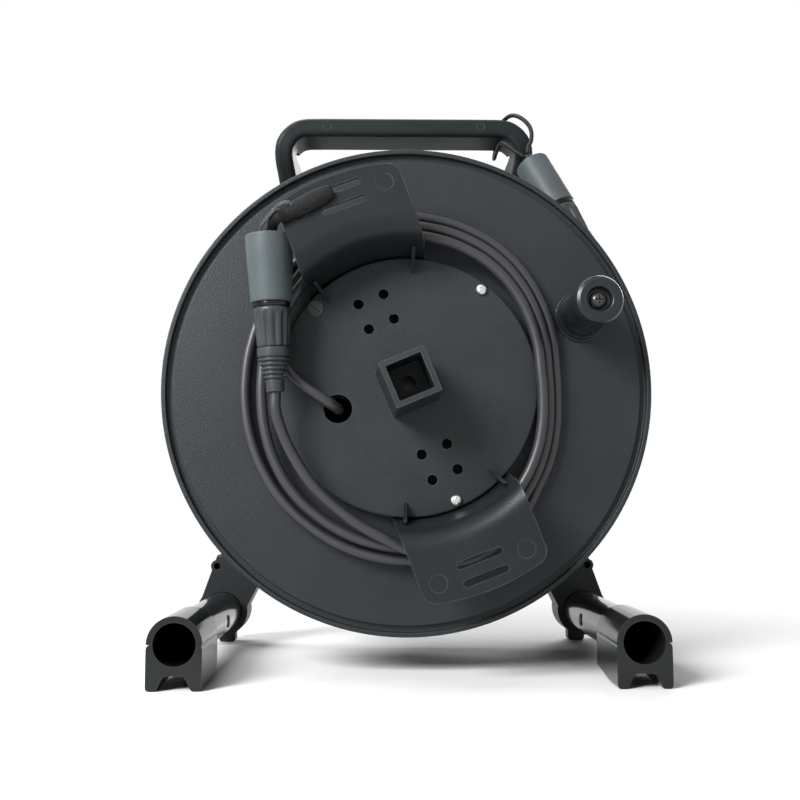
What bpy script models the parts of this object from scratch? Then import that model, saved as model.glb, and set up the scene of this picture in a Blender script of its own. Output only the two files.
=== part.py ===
"""Network cable on a hand-wound plastic drum with a stand, a carry handle and capped data connectors.

Metres, +Z up, the drum's axle along Y and its winding side towards -Y. The origin is on the ground,
below the middle of the object. A depth is measured back from the front flange's face.
"""

import math

import bmesh
import bpy
from mathutils import Matrix, Vector

# Shared sizes
GAP = 0.0003
FINE = 0.00002

# Drum
FLANGE_RADIUS = 0.155
FLANGE_THICKNESS = 0.0025
RIM_DEPTH = 0.009
RIM_WIDTH = 0.0030
RIM_LIP = 0.0012
GROOVE_WIDTH = 0.0040
GROOVE_DEPTH = 0.0030
DRUM_WIDTH = 0.125
CORE_RADIUS = 0.084
CORE_WALL = 0.003
CORE_WEB = 0.003
CORE_WEB_DEPTH = 0.012
FLANGE_BORE = 0.068

# Axle and bearings
AXLE_HEIGHT = 0.178
AXLE_RADIUS = 0.008
AXLE_COLLAR = 0.013
BUSH_WALL = 0.0025
BUSH_LENGTH = 0.016
BUSH_LIP = 0.003
HUB_SLEEVE_WALL = 0.003
CLIP_WIDTH = 0.0045
CLIP_THICKNESS = 0.0015
NUT_WIDTH = 0.022
NUT_THICKNESS = 0.008
WASHER_RADIUS = 0.015
WASHER_THICKNESS = 0.002

# Hub cover with its square socket
HUB_RAISE = 0.010
HUB_RADIUS = 0.0815
HUB_WALL = 0.0025
SOCKET_REACH = 0.050
SOCKET_FRONT_SIDE = 0.0285
SOCKET_BASE_SIDE = 0.031
SOCKET_OPENING = 0.022
SOCKET_DEPTH = 0.034
SOCKET_FLOOR_HOLE = 0.0045
SOCKET_ANGLE = math.radians(112.6)
HOLE_RADIUS = 0.00325
HOLE_PITCH = 0.017
HOLE_RING_RADIUS = 0.051
EXIT_RADIUS = 0.009
EXIT_RING_RADIUS = 0.0457
EXIT_ANGLE = math.radians(198)
PLUG_RADIUS = 0.005
PLUG_RING_RADIUS = 0.0755
PLUG_ANGLE = math.radians(139.7)

# Hub screws
SCREW_RING_RADIUS = 0.0770
SCREW_ANGLES = [math.radians(angle) for angle in (52.7, -67.3, 172.7)]
SCREW_HEAD = 0.0037
SCREW_HEAD_HEIGHT = 0.0022
SCREW_SHANK = 0.0016
SCREW_HOLE = 0.0021
SCREW_BITE = 0.012
BOSS_RADIUS = 0.0045
BOSS_LENGTH = 0.022

# Cable holders
HOLDER_ANGLES = {"upper": math.radians(110.2), "lower": math.radians(-68.9)}
HOLDER_WALL = 0.0024
HOLDER_HALF_WIDTH = 0.0385
HOLDER_REACH = 0.131
HOLDER_HEIGHT = 0.046
HOLDER_BEND = 0.014
HOLDER_CORNER = 0.007
HOLDER_LEAN = 0.004
SLOT_LENGTH = 0.028
SLOT_WIDTH = 0.0042
SLOT_RINGS = (0.1115, 0.1225)
GUSSET_ANGLE = math.radians(22.6)
GUSSET_REACH = 0.011
GUSSET_HEIGHT = 0.020
GUSSET_THICKNESS = 0.0018

# Winding knob
KNOB_OFFSET = 0.120
KNOB_ANGLE = math.radians(22.5)
KNOB_RADIUS = 0.0145
KNOB_LENGTH = 0.056
KNOB_COUNTERBORE = 0.0072
KNOB_COUNTERBORE_DEPTH = 0.006
KNOB_SEAT_RADIUS = 0.0165
KNOB_SEAT_HEIGHT = 0.002
BOLT_RADIUS = 0.003
BOLT_HEAD = 0.0052

# Stand
STAND_GAP = 0.004
STAND_DEPTH = 0.026
STAND_WALL = 0.003
STAND_RIB = 0.0025
UPRIGHT_INNER = 0.066
UPRIGHT_OUTER = 0.092
UPRIGHT_TOP = 0.178
CROSS_HALF_HEIGHT = 0.030
LEG_KNEE_OUTER = (0.092, 0.020)
LEG_KNEE_INNER = (0.062, -0.042)
LEG_TOE_OUTER = (0.147, -0.121)
LEG_TOE_INNER = (0.105, -0.138)
HUB_BOSS_RADIUS = 0.026
LEG_BOSS_RADIUS = 0.0046
LEG_BOSS_HOLE = 0.0025
LEG_BOSS = (0.1385, -0.119)
STAND_CORNER = 0.009

# Feet
FOOT_SPREAD = 0.134
FOOT_HEIGHT = 0.026
FOOT_RADIUS = 0.016
FOOT_BORE = 0.01225
FOOT_LIP = 0.004
TUBE_RADIUS = 0.014
TUBE_WALL = 0.0015
CLAMP_WALL = 0.0045
FRONT_FOOT_REACH = 0.050
FOOT_LENGTH = 0.055
REAR_FOOT_LENGTH = 0.0125
REAR_HEAD_RADIUS = 0.0165
REAR_STEM_LENGTH = 0.015
REAR_TAB_WIDTH = 0.0124
FOOT_SOFTNESS = 0.003
PRONG_WIDTH = 0.006
ARCH_HEIGHT = 0.0085
ARCH_TOP = 0.012
PRONG_FLAT = 0.012
PRONG_RISE = 0.006

# Carry handle
HANDLE_DEPTH = 0.034
HANDLE_THICKNESS = 0.0130
HANDLE_TOP = 0.2000
HANDLE_MIDDLE = 0.077
HANDLE_STRAIGHT = 0.058
HANDLE_HALF_WIDTH = 0.0915
HANDLE_ROOT = 0.0795
HANDLE_ROOT_HEIGHT = 0.158
HANDLE_SCREW_SPREAD = 0.010

# Cable
CABLE_RADIUS = 0.0034
WINDING_LAYERS = 5
WINDING_LOOPS = 15
LOOP_POINTS = 24
WINDING_POINTS = 18
LEAD_DEPTH = 0.045
COIL_START_ANGLE = 150
COIL_ROUTE = (
    (0, 0.0886, -0.0170), (37.4, 0.0945, -0.0155), (90, 0.0925, -0.0150), (130, 0.0850, -0.0154),
    (150, 0.0830, -0.0156), (190, 0.0925, -0.0142), (217, 0.0985, -0.0130), (240, 0.0995, -0.0130),
    (285, 0.0965, -0.0130), (330, 0.0904, -0.0130), (360, 0.0938, -0.0116), (397.4, 0.1010, -0.0113),
    (450, 0.0995, -0.0114), (490, 0.0908, -0.0105), (510, 0.0880, -0.0100), (550, 0.0980, -0.0090),
    (577, 0.1055, -0.0090), (600, 0.1073, -0.0088), (645, 0.1050, -0.0075), (690, 0.1016, -0.0055),
    (720, 0.1030, -0.0050), (757.4, 0.1085, -0.0060), (810, 0.1065, -0.0064), (850, 0.0970, -0.0055),
    (870, 0.0936, -0.0050), (910, 0.1035, -0.0042),
)
TIE_RADIUS = 0.0015
KNOT_RADIUS = 0.0045

# Data connector
CAP_LENGTH = 0.041
CAP_TOP_RADIUS = 0.0143
CAP_END_RADIUS = 0.0126
RING_RADIUS = 0.0112
RING_LENGTH = 0.0025
BUSHING_LENGTH = 0.024
BUSHING_RADIUS = 0.0112
BUSHING_END_RADIUS = 0.0097
FLUTES = 12
FLUTE_DEPTH = 0.0009
BOOT_LENGTH = 0.0265
BOOT_RADIUS = 0.0100
BOOT_END_RADIUS = 0.0056
BOOT_RINGS = 6
SHELL_RADIUS = 0.0096
SHELL_WALL = 0.0012
SHELL_LENGTH = 0.034
CAP_BASE = 0.0035
FRONT_BOOT_END = (-0.0799, -0.0320, -0.0060)
FRONT_WAY = (-0.046, -0.040, 0.943)
OUTER_BOOT_END = (0.1263, 0.0217, 0.0816)
OUTER_WAY = (-0.39, 0.32, 0.862)
OUTER_CAP_RADIUS = 0.0118

TURN_STEPS = 24
TUBE_STEPS = 20
FLANGE_STEPS = 42
HOLDER_STEPS = 60
COVER_STEPS = 36
BOOT_STEPS = 10
SMALL_STEPS = 16
HOLE_STEPS = 8

STAND_FRONT = DRUM_WIDTH + STAND_GAP + RIM_LIP
STAND_BACK = STAND_FRONT + STAND_DEPTH
REAR_END = STAND_BACK + GAP + REAR_FOOT_LENGTH
SOCKET_FRONT = -HUB_RAISE - SOCKET_REACH
FACE_Y = -(REAR_END + SOCKET_FRONT) / 2
COVER_BACK = -HUB_RAISE + HUB_WALL
TUBE_BORE = TUBE_RADIUS - TUBE_WALL
WINDING_RADIUS = CORE_RADIUS + GAP + (2 * WINDING_LAYERS - 1) * CABLE_RADIUS

MATERIALS = {
    "black_plastic": ((0.035, 0.038, 0.043), 0.45, 0.0),
    "black_gloss": ((0.012, 0.012, 0.013), 0.12, 0.0),
    "rubber": ((0.020, 0.020, 0.022), 0.60, 0.0),
    "cable_jacket": ((0.022, 0.023, 0.026), 0.50, 0.0),
    "steel": ((0.62, 0.62, 0.60), 0.30, 1.0),
    "nickel": ((0.45, 0.44, 0.42), 0.22, 1.0),
    "brass": ((0.60, 0.45, 0.20), 0.30, 1.0),
    "white_bush": ((0.70, 0.70, 0.66), 0.40, 0.0),
}


STILL_PIECES = (
    "stand", "carry_handle", "handle_screw", "axle", "foot_tube", "front_foot", "rear_foot", "outer_",
    "cable_tail", "cap_tie", "tie_knot",
)


def clear_scene():
    """Removes what the scene holds at the start."""
    for item in list(bpy.data.objects):
        bpy.data.objects.remove(item, do_unlink=True)


def collection(name):
    made = bpy.data.collections.new(name)
    bpy.context.scene.collection.children.link(made)
    return made


def material(name, finish):
    """A Principled BSDF named for its piece, with a shared finish."""
    colour, roughness, metallic = MATERIALS[finish]
    made = bpy.data.materials.new(name)
    made.use_nodes = True
    shader = made.node_tree.nodes["Principled BSDF"]
    shader.inputs["Base Color"].default_value = (*colour, 1.0)
    shader.inputs["Roughness"].default_value = roughness
    shader.inputs["Metallic"].default_value = metallic
    made.diffuse_color = (*colour, 1.0)
    return made


def at(x, depth, height):
    """A world point from a place across, back from the front flange's face and up from the axle."""
    return Vector((x, FACE_Y + depth, AXLE_HEIGHT + height))


def polar(radius, angle, depth):
    """A world point at a radius and an angle round the axle."""
    return at(radius * math.cos(angle), depth, radius * math.sin(angle))


def finish_object(item, finish, smooth=True):
    item.data.materials.clear()
    item.data.materials.append(material(item.name, finish))
    if smooth and item.type == "MESH":
        item.data.shade_smooth()
        item.data.set_sharp_from_angle(angle=math.radians(35))
    return item


def link_mesh(name, shape, home):
    mesh = bpy.data.meshes.new(name)
    shape.to_mesh(mesh)
    shape.free()
    item = bpy.data.objects.new(name, mesh)
    home.objects.link(item)
    return item


def as_cutter(item):
    item.hide_render = True
    item.display_type = "WIRE"
    return item


def boolean(item, other, operation):
    modifier = item.modifiers.new(operation.title(), "BOOLEAN")
    modifier.operation = operation
    modifier.solver = "EXACT"
    modifier.object = other
    return modifier


def turned(name, profile, home, place=None, along=(0, 1, 0), steps=TURN_STEPS):
    """A solid of revolution. The profile is (radius, height) points, heights running along the given way."""
    points = [Vector((radius, 0, height)) for radius, height in profile]
    loop = points + points[:1]
    area = sum(a.x * b.z - b.x * a.z for a, b in zip(loop, loop[1:]))
    if area > 0:
        points.reverse()
    closed = all(point.x > FINE for point in points)
    shape = bmesh.new()
    verts = [shape.verts.new(point) for point in points]
    for first, second in zip(verts, verts[1:]):
        shape.edges.new((first, second))
    if closed:
        shape.edges.new((verts[-1], verts[0]))
    item = link_mesh(name, shape, home)
    screw = item.modifiers.new("Turn", "SCREW")
    screw.axis = "Z"
    screw.angle = math.tau
    screw.steps = steps
    screw.render_steps = steps
    screw.use_merge_vertices = True
    screw.merge_threshold = FINE
    item.location = place if place is not None else at(0, 0, 0)
    item.rotation_euler = Vector((0, 0, 1)).rotation_difference(Vector(along)).to_euler()
    return item


def disc_profile(radius, start, end):
    return [(0, start), (radius, start), (radius, end), (0, end)]


def ring_profile(inner, outer, start, end):
    return [(inner, start), (outer, start), (outer, end), (inner, end)]


def rounded(corners, radius, steps=3):
    """An outline with its corners rounded by arcs, each limited by the sides that it joins."""
    outline = []
    count = len(corners)
    for index, corner in enumerate(corners):
        here = Vector(corner)
        back = Vector(corners[index - 1]) - here
        ahead = Vector(corners[(index + 1) % count]) - here
        turn = back.angle(ahead)
        reach = min(radius / math.tan(turn / 2), back.length * 0.45, ahead.length * 0.45)
        start = here + back.normalized() * reach
        end = here + ahead.normalized() * reach
        for step in range(steps + 1):
            share = step / steps
            first = start.lerp(here, share)
            second = here.lerp(end, share)
            outline.append(tuple(first.lerp(second, share)))
    return outline


def circle(radius, centre=(0, 0), steps=16):
    return [
        (centre[0] + radius * math.cos(math.tau * step / steps),
         centre[1] + radius * math.sin(math.tau * step / steps))
        for step in range(steps)
    ]


def rectangle(width, height, centre=(0, 0)):
    x, y = width / 2, height / 2
    return [(centre[0] + a * x, centre[1] + b * y) for a, b in ((-1, -1), (1, -1), (1, 1), (-1, 1))]


def plate(name, outlines, thickness, home, place):
    """A flat piece upright across the axle: outlines in (across, up), its thickness running back."""
    curve = bpy.data.curves.new(name, "CURVE")
    curve.dimensions = "2D"
    curve.fill_mode = "BOTH"
    curve.extrude = thickness / 2
    for outline in outlines:
        spline = curve.splines.new("POLY")
        spline.points.add(len(outline) - 1)
        for point, (x, y) in zip(spline.points, outline):
            point.co = (x, y, 0, 1)
        spline.use_cyclic_u = True
    guide = bpy.data.objects.new(name + "_outline", curve)
    home.objects.link(guide)
    guide.rotation_euler = (math.radians(90), 0, 0)
    guide.location = Vector(place) + Vector((0, thickness / 2, 0))
    return solid_from(guide, name, home)


def solid_from(guide, name, home):
    """The mesh of a curve, its caps welded, in place of the curve."""
    bpy.context.view_layer.update()
    graph = bpy.context.evaluated_depsgraph_get()
    mesh = bpy.data.meshes.new_from_object(guide.evaluated_get(graph))
    mesh.name = name
    shape = bmesh.new()
    shape.from_mesh(mesh)
    bmesh.ops.remove_doubles(shape, verts=shape.verts, dist=FINE)
    bmesh.ops.recalc_face_normals(shape, faces=shape.faces)
    shape.to_mesh(mesh)
    shape.free()
    item = bpy.data.objects.new(name, mesh)
    item.matrix_world = guide.matrix_world
    home.objects.link(item)
    bpy.data.objects.remove(guide, do_unlink=True)
    return item


def box(name, size, home, place, angle=0.0):
    """A block turned by an angle round the axle's way."""
    shape = bmesh.new()
    bmesh.ops.create_cube(shape, size=1.0)
    bmesh.ops.scale(shape, vec=size, verts=shape.verts)
    item = link_mesh(name, shape, home)
    item.location = place
    item.rotation_euler = (0, -angle, 0)
    return item


def round_cutter(name, radius, start, end, home, place, steps=16):
    """A plain cylinder along the axle's way, for a hole."""
    item = turned(name, disc_profile(radius, start, end), home, place, steps=steps)
    return as_cutter(item)


def joined(name, items, home):
    """Several loose bodies as one object, evaluated as they stand."""
    bpy.context.view_layer.update()
    graph = bpy.context.evaluated_depsgraph_get()
    shape = bmesh.new()
    for item in items:
        mesh = bpy.data.meshes.new_from_object(item.evaluated_get(graph))
        mesh.transform(item.matrix_world)
        shape.from_mesh(mesh)
        bpy.data.meshes.remove(mesh)
    for item in items:
        bpy.data.objects.remove(item, do_unlink=True)
    return link_mesh(name, shape, home)


def loft(name, rings, home):
    """A closed skin through rings of points, capped at both ends."""
    shape = bmesh.new()
    rows = [[shape.verts.new(point) for point in ring] for ring in rings]
    for first, second in zip(rows, rows[1:]):
        count = len(first)
        for index in range(count):
            follow = (index + 1) % count
            shape.faces.new((first[index], first[follow], second[follow], second[index]))
    shape.faces.new(reversed(rows[0]))
    shape.faces.new(rows[-1])
    bmesh.ops.recalc_face_normals(shape, faces=shape.faces)
    return link_mesh(name, shape, home)


def smooth_path(points, count, before=None, after=None):
    """Evenly spaced points on a smooth curve through the given ones, led in and out by its neighbours."""
    dense = []
    lead = before or points[0] * 2 - points[1]
    follow = after or points[-1] * 2 - points[-2]
    padded = [lead, *points, follow]
    for index in range(1, len(padded) - 2):
        last, start, end, following = padded[index - 1:index + 3]
        for step in range(24):
            t = step / 24
            dense.append(0.5 * (
                2 * start + (end - last) * t
                + (2 * last - 5 * start + 4 * end - following) * t ** 2
                + (3 * start - last - 3 * end + following) * t ** 3
            ))
    dense.append(points[-1])
    lengths = [0.0]
    for first, second in zip(dense, dense[1:]):
        lengths.append(lengths[-1] + (second - first).length)
    spaced = []
    index = 0
    for step in range(count):
        wanted = lengths[-1] * step / (count - 1)
        while index < len(lengths) - 2 and lengths[index + 1] < wanted:
            index += 1
        share = (wanted - lengths[index]) / (lengths[index + 1] - lengths[index])
        spaced.append(dense[index].lerp(dense[index + 1], share))
    return spaced


def tube(name, points, radius, home, sides=8):
    """A round tube through points, its ends capped."""
    curve = bpy.data.curves.new(name, "CURVE")
    curve.dimensions = "3D"
    curve.bevel_depth = radius
    curve.bevel_resolution = (sides - 4) // 2
    curve.use_fill_caps = True
    curve.twist_mode = "MINIMUM"
    spline = curve.splines.new("POLY")
    spline.points.add(len(points) - 1)
    for point, place in zip(spline.points, points):
        point.co = (*place, 1)
    item = bpy.data.objects.new(name, curve)
    home.objects.link(item)
    return item


def path_length(points):
    return sum((second - first).length for first, second in zip(points, points[1:]))


def cord_path(route, count):
    """Points along a cord: straight end runs, and a smooth curve through the rest of its route."""
    middle = smooth_path(route[1:-1], count - 2, route[0], route[-1])
    return [route[0], *middle, route[-1]]


def least_gap(points, radius):
    """The least gap between turns of a tube, half a loop or more apart."""
    least = math.inf
    for index, point in enumerate(points):
        for other in points[index + LOOP_POINTS // 2:]:
            least = min(least, (other - point).length)
    return least - 2 * radius


def radial_frame(angle):
    """The outward way and the sideways way at an angle round the axle."""
    outward = Vector((math.cos(angle), 0, math.sin(angle)))
    sideways = Vector((-math.sin(angle), 0, math.cos(angle)))
    return outward, sideways


def flange_profile(bore):
    """Radius and depth round a flange: flat face, groove, raised lip and a skirt behind it."""
    groove_outer = FLANGE_RADIUS - RIM_WIDTH
    groove_inner = groove_outer - GROOVE_WIDTH
    behind = GROOVE_DEPTH + FLANGE_THICKNESS
    soften = RIM_WIDTH / 4
    skirt_inner = groove_outer + soften
    return [
        (bore, 0), (groove_inner, 0), (groove_inner, GROOVE_DEPTH), (groove_outer, GROOVE_DEPTH),
        (groove_outer, -RIM_LIP), (FLANGE_RADIUS - soften, -RIM_LIP), (FLANGE_RADIUS, soften - RIM_LIP),
        (FLANGE_RADIUS, RIM_DEPTH), (skirt_inner, RIM_DEPTH), (skirt_inner, behind),
        (groove_inner - FLANGE_THICKNESS, behind), (groove_inner - FLANGE_THICKNESS, FLANGE_THICKNESS),
        (bore, FLANGE_THICKNESS),
    ]


def drilled(item, places, radius, start, end, tools, steps=8):
    """Cuts round holes along the axle's way at places given as (across, up) from the axle."""
    cutters = [
        turned(f"{item.name}_hole_{index}", disc_profile(radius, start, end), tools, at(x, 0, z), steps=steps)
        for index, (x, z) in enumerate(places)
    ]
    boolean(item, as_cutter(joined(f"{item.name}_holes", cutters, tools)), "DIFFERENCE")


def screw_places():
    return [(SCREW_RING_RADIUS * math.cos(a), SCREW_RING_RADIUS * math.sin(a)) for a in SCREW_ANGLES]


def knob_place():
    return (KNOB_OFFSET * math.cos(KNOB_ANGLE), KNOB_OFFSET * math.sin(KNOB_ANGLE))


def make_flanges(parts, tools):
    front = turned("front_flange", flange_profile(FLANGE_BORE), parts, steps=FLANGE_STEPS)
    reach = RIM_DEPTH
    drilled(front, screw_places(), SCREW_HOLE, -reach, reach, tools)
    drilled(front, [knob_place()], BOLT_RADIUS + 2 * GAP, -reach, reach, tools)
    finish_object(front, "black_plastic")

    bore = AXLE_COLLAR + 0.0015
    profile = [(radius, DRUM_WIDTH - depth) for radius, depth in flange_profile(bore)]
    rear = turned("rear_flange", profile, parts, steps=FLANGE_STEPS)
    drilled(rear, screw_places(), SCREW_HOLE, DRUM_WIDTH - reach, DRUM_WIDTH + reach, tools)
    finish_object(rear, "black_plastic")


def make_core(parts, tools):
    """The drum's core: a wall, a web near the winding side, a bearing sleeve and six screw bosses."""
    front = FLANGE_THICKNESS + GAP
    back = DRUM_WIDTH - FLANGE_THICKNESS - GAP
    inner = CORE_RADIUS - CORE_WALL
    bore = AXLE_RADIUS + BUSH_WALL + 2 * GAP
    sleeve = bore + HUB_SLEEVE_WALL
    sleeve_front = front + BUSH_LIP + GAP
    web = (CORE_WEB_DEPTH, CORE_WEB_DEPTH + CORE_WEB)
    core = turned("drum_core", [
        (CORE_RADIUS, front), (CORE_RADIUS, back), (inner, back), (inner, web[1]), (sleeve, web[1]),
        (sleeve, back), (bore, back), (bore, sleeve_front), (sleeve, sleeve_front), (sleeve, web[0]),
        (inner, web[0]), (inner, front),
    ], parts)
    bosses = []
    for index, (x, z) in enumerate(screw_places()):
        for side, start in (("front", front), ("rear", back - BOSS_LENGTH)):
            bosses.append(turned(
                f"boss_{side}_{index}", disc_profile(BOSS_RADIUS, start, start + BOSS_LENGTH),
                tools, at(x, 0, z), steps=8,
            ))
    boolean(core, as_cutter(joined("core_bosses", bosses, tools)), "UNION")
    pilot = SCREW_SHANK + GAP
    drilled(core, screw_places(), pilot, front - 0.001, front + SCREW_BITE, tools, steps=8)
    rear = [round_cutter(f"rear_pilot_{i}", pilot, back - SCREW_BITE, back + 0.001, tools, at(x, 0, z), 8)
            for i, (x, z) in enumerate(screw_places())]
    boolean(core, as_cutter(joined("rear_pilots", rear, tools)), "DIFFERENCE")
    exit_place = (EXIT_RING_RADIUS * math.cos(EXIT_ANGLE), EXIT_RING_RADIUS * math.sin(EXIT_ANGLE))
    web_hole = round_cutter("web_hole", EXIT_RADIUS, web[0] - 0.002, web[1] + 0.002, tools,
                            at(exit_place[0], 0, exit_place[1]))
    boolean(core, web_hole, "DIFFERENCE")
    outward, _ = radial_frame(EXIT_ANGLE)
    wall_hole = turned("wall_hole", disc_profile(CABLE_RADIUS + 0.0025, inner - 0.004, CORE_RADIUS + 0.004),
                       tools, at(0, LEAD_DEPTH, 0), along=outward, steps=16)
    boolean(core, as_cutter(wall_hole), "DIFFERENCE")
    finish_object(core, "black_plastic")


def make_bearings(parts):
    """Two flanged bushes in the sleeve, the axle with its collar, and what holds it at both ends."""
    front = FLANGE_THICKNESS + GAP
    back = DRUM_WIDTH - FLANGE_THICKNESS - GAP
    inner = AXLE_RADIUS + GAP
    outer = inner + BUSH_WALL
    sleeve_front = front + BUSH_LIP + GAP
    finish_object(turned("front_bush", [
        (inner, front), (AXLE_COLLAR, front), (AXLE_COLLAR, front + BUSH_LIP), (outer, front + BUSH_LIP),
        (outer, sleeve_front + BUSH_LENGTH), (inner, sleeve_front + BUSH_LENGTH),
    ], parts, steps=16), "white_bush")
    lip = back + GAP
    finish_object(turned("rear_bush", [
        (inner, back - BUSH_LENGTH), (outer, back - BUSH_LENGTH), (outer, lip), (AXLE_COLLAR, lip),
        (AXLE_COLLAR, lip + BUSH_LIP), (inner, lip + BUSH_LIP),
    ], parts, steps=16), "white_bush")

    clip_back = front - GAP
    clip_front = clip_back - CLIP_THICKNESS
    finish_object(turned("axle_clip", ring_profile(inner, inner + CLIP_WIDTH, clip_front, clip_back),
                         parts, steps=16), "steel")
    collar_front = lip + BUSH_LIP + GAP
    collar_back = STAND_FRONT - GAP
    nut_front = STAND_BACK + GAP + WASHER_THICKNESS + GAP
    nut_back = nut_front + NUT_THICKNESS
    chamfer = 0.001
    axle_end = nut_back + 2 * chamfer
    axle_start = clip_front - 2 * chamfer
    finish_object(turned("axle", [
        (0, axle_start), (AXLE_RADIUS - chamfer, axle_start), (AXLE_RADIUS, axle_start + chamfer),
        (AXLE_RADIUS, collar_front), (AXLE_COLLAR, collar_front), (AXLE_COLLAR, collar_back),
        (AXLE_RADIUS, collar_back), (AXLE_RADIUS, axle_end - chamfer),
        (AXLE_RADIUS - chamfer, axle_end), (0, axle_end),
    ], parts, steps=16), "steel")
    finish_object(turned("axle_washer", ring_profile(
        inner, WASHER_RADIUS, STAND_BACK + GAP, STAND_BACK + GAP + WASHER_THICKNESS), parts, steps=16), "steel")
    nut = plate("axle_nut", [circle(NUT_WIDTH / math.sqrt(3), steps=6), circle(inner, steps=16)],
                NUT_THICKNESS, parts, at(0, nut_front, 0))
    finish_object(nut, "steel", smooth=False)


def socket_ring(side, depth, angle):
    """The four corners of a square across the axle, turned to an angle."""
    outward, sideways = radial_frame(angle)
    half = side / 2
    return [at(0, depth, 0) + outward * a * half + sideways * b * half
            for a, b in ((-1, -1), (1, -1), (1, 1), (-1, 1))]


def make_hub_cover(parts, tools):
    """The raised hub cover with its square winding socket, spacer bosses and holes."""
    plate_back = COVER_BACK
    skirt_end = -GAP
    skirt_inner = HUB_RADIUS - HUB_WALL
    cover = turned("hub_cover", [
        (0, -HUB_RAISE), (HUB_RADIUS - 0.0006, -HUB_RAISE), (HUB_RADIUS, 0.0006 - HUB_RAISE),
        (HUB_RADIUS, skirt_end), (skirt_inner, skirt_end), (skirt_inner, plate_back), (0, plate_back),
    ], parts, steps=COVER_STEPS)
    angle = SOCKET_ANGLE
    tower = loft("socket_tower", [
        socket_ring(SOCKET_BASE_SIDE, -HUB_RAISE + HUB_WALL / 2, angle),
        socket_ring(SOCKET_FRONT_SIDE, SOCKET_FRONT, angle),
    ], tools)
    soften = tower.modifiers.new("Soften", "BEVEL")
    soften.width = 0.0010
    soften.segments = 1
    boolean(cover, as_cutter(tower), "UNION")
    spacers = [turned(f"spacer_{i}", disc_profile(BOSS_RADIUS, plate_back - HUB_WALL / 2, skirt_end),
                      tools, at(x, 0, z), steps=8) for i, (x, z) in enumerate(screw_places())]
    boolean(cover, as_cutter(joined("cover_spacers", spacers, tools)), "UNION")

    floor = SOCKET_FRONT + SOCKET_DEPTH
    mouth = loft("socket_mouth", [
        socket_ring(SOCKET_OPENING, floor, angle), socket_ring(SOCKET_OPENING, SOCKET_FRONT - 0.004, angle),
    ], tools)
    boolean(cover, as_cutter(mouth), "DIFFERENCE")
    relief = loft("socket_back", [
        socket_ring(SOCKET_OPENING, floor + HUB_WALL, angle), socket_ring(SOCKET_OPENING, 0, angle),
    ], tools)
    boolean(cover, as_cutter(relief), "DIFFERENCE")
    boolean(cover, round_cutter("floor_hole", SOCKET_FLOOR_HOLE, floor - 0.002, floor + 0.004, tools, at(0, 0, 0)),
            "DIFFERENCE")

    drilled(cover, screw_places(), SCREW_HOLE, -HUB_RAISE - 0.002, 0.002, tools)
    small = []
    for turn in (SOCKET_ANGLE, SOCKET_ANGLE + math.pi):
        outward, sideways = radial_frame(turn)
        for a in (-1, 1):
            for b in (-1, 1):
                spot = outward * (HOLE_RING_RADIUS + a * HOLE_PITCH / 2) + sideways * b * HOLE_PITCH / 2
                small.append((spot.x, spot.z))
    drilled(cover, small, HOLE_RADIUS, -HUB_RAISE - 0.002, plate_back + 0.001, tools)
    large = [(EXIT_RING_RADIUS * math.cos(EXIT_ANGLE), EXIT_RING_RADIUS * math.sin(EXIT_ANGLE))]
    exit_hole = round_cutter("exit_hole", EXIT_RADIUS, -HUB_RAISE - 0.002, plate_back + 0.001, tools,
                             at(large[0][0], 0, large[0][1]))
    boolean(cover, exit_hole, "DIFFERENCE")
    plug = (PLUG_RING_RADIUS * math.cos(PLUG_ANGLE), PLUG_RING_RADIUS * math.sin(PLUG_ANGLE))
    plug_hole = round_cutter("plug_hole", PLUG_RADIUS - 0.001 + GAP, -HUB_RAISE - 0.002, plate_back + 0.001,
                             tools, at(plug[0], 0, plug[1]))
    boolean(cover, plug_hole, "DIFFERENCE")
    finish_object(cover, "black_plastic")


def make_slotted_plug(parts, tools):
    place = polar(PLUG_RING_RADIUS, PLUG_ANGLE, 0)
    face = -HUB_RAISE - GAP
    stem = PLUG_RADIUS - 0.001
    plug = turned("slotted_plug", [
        (0, face - 0.001), (PLUG_RADIUS - 0.0004, face - 0.001), (PLUG_RADIUS, face - 0.0006),
        (PLUG_RADIUS, face), (stem, face), (stem, COVER_BACK), (0, COVER_BACK),
    ], parts, place, steps=16)
    slot = box("plug_slot", (2 * PLUG_RADIUS - 0.002, 0.0016, 0.0012), tools,
               place + Vector((0, face - 0.001, 0)), math.radians(-35))
    boolean(plug, as_cutter(slot), "DIFFERENCE")
    finish_object(plug, "black_plastic")


def screw(name, parts, place, along, seat_to_tip, head=SCREW_HEAD, shank=SCREW_SHANK,
          height=SCREW_HEAD_HEIGHT, steps=8):
    """A pan-head screw, its place under the head and its shank running the given way."""
    item = turned(name, [
        (0, -height), (head * 0.6, -height), (head, -height * 0.4), (head, 0), (shank, 0), (shank, seat_to_tip), (0, seat_to_tip),
    ], parts, place, along, steps=steps)
    return finish_object(item, "steel")


def make_drum_screws(parts):
    """Three screws through the hub cover and the front flange, three through the rear flange."""
    front_tip = FLANGE_THICKNESS + SCREW_BITE - 0.001
    back = DRUM_WIDTH + GAP
    for index, (x, z) in enumerate(screw_places()):
        seat = -HUB_RAISE - GAP
        screw(f"hub_screw_{index + 1}", parts, at(x, seat, z), (0, 1, 0), front_tip - seat)
        screw(f"rear_screw_{index + 1}", parts, at(x, back, z), (0, -1, 0),
              FLANGE_THICKNESS + SCREW_BITE - 0.001)


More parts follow.
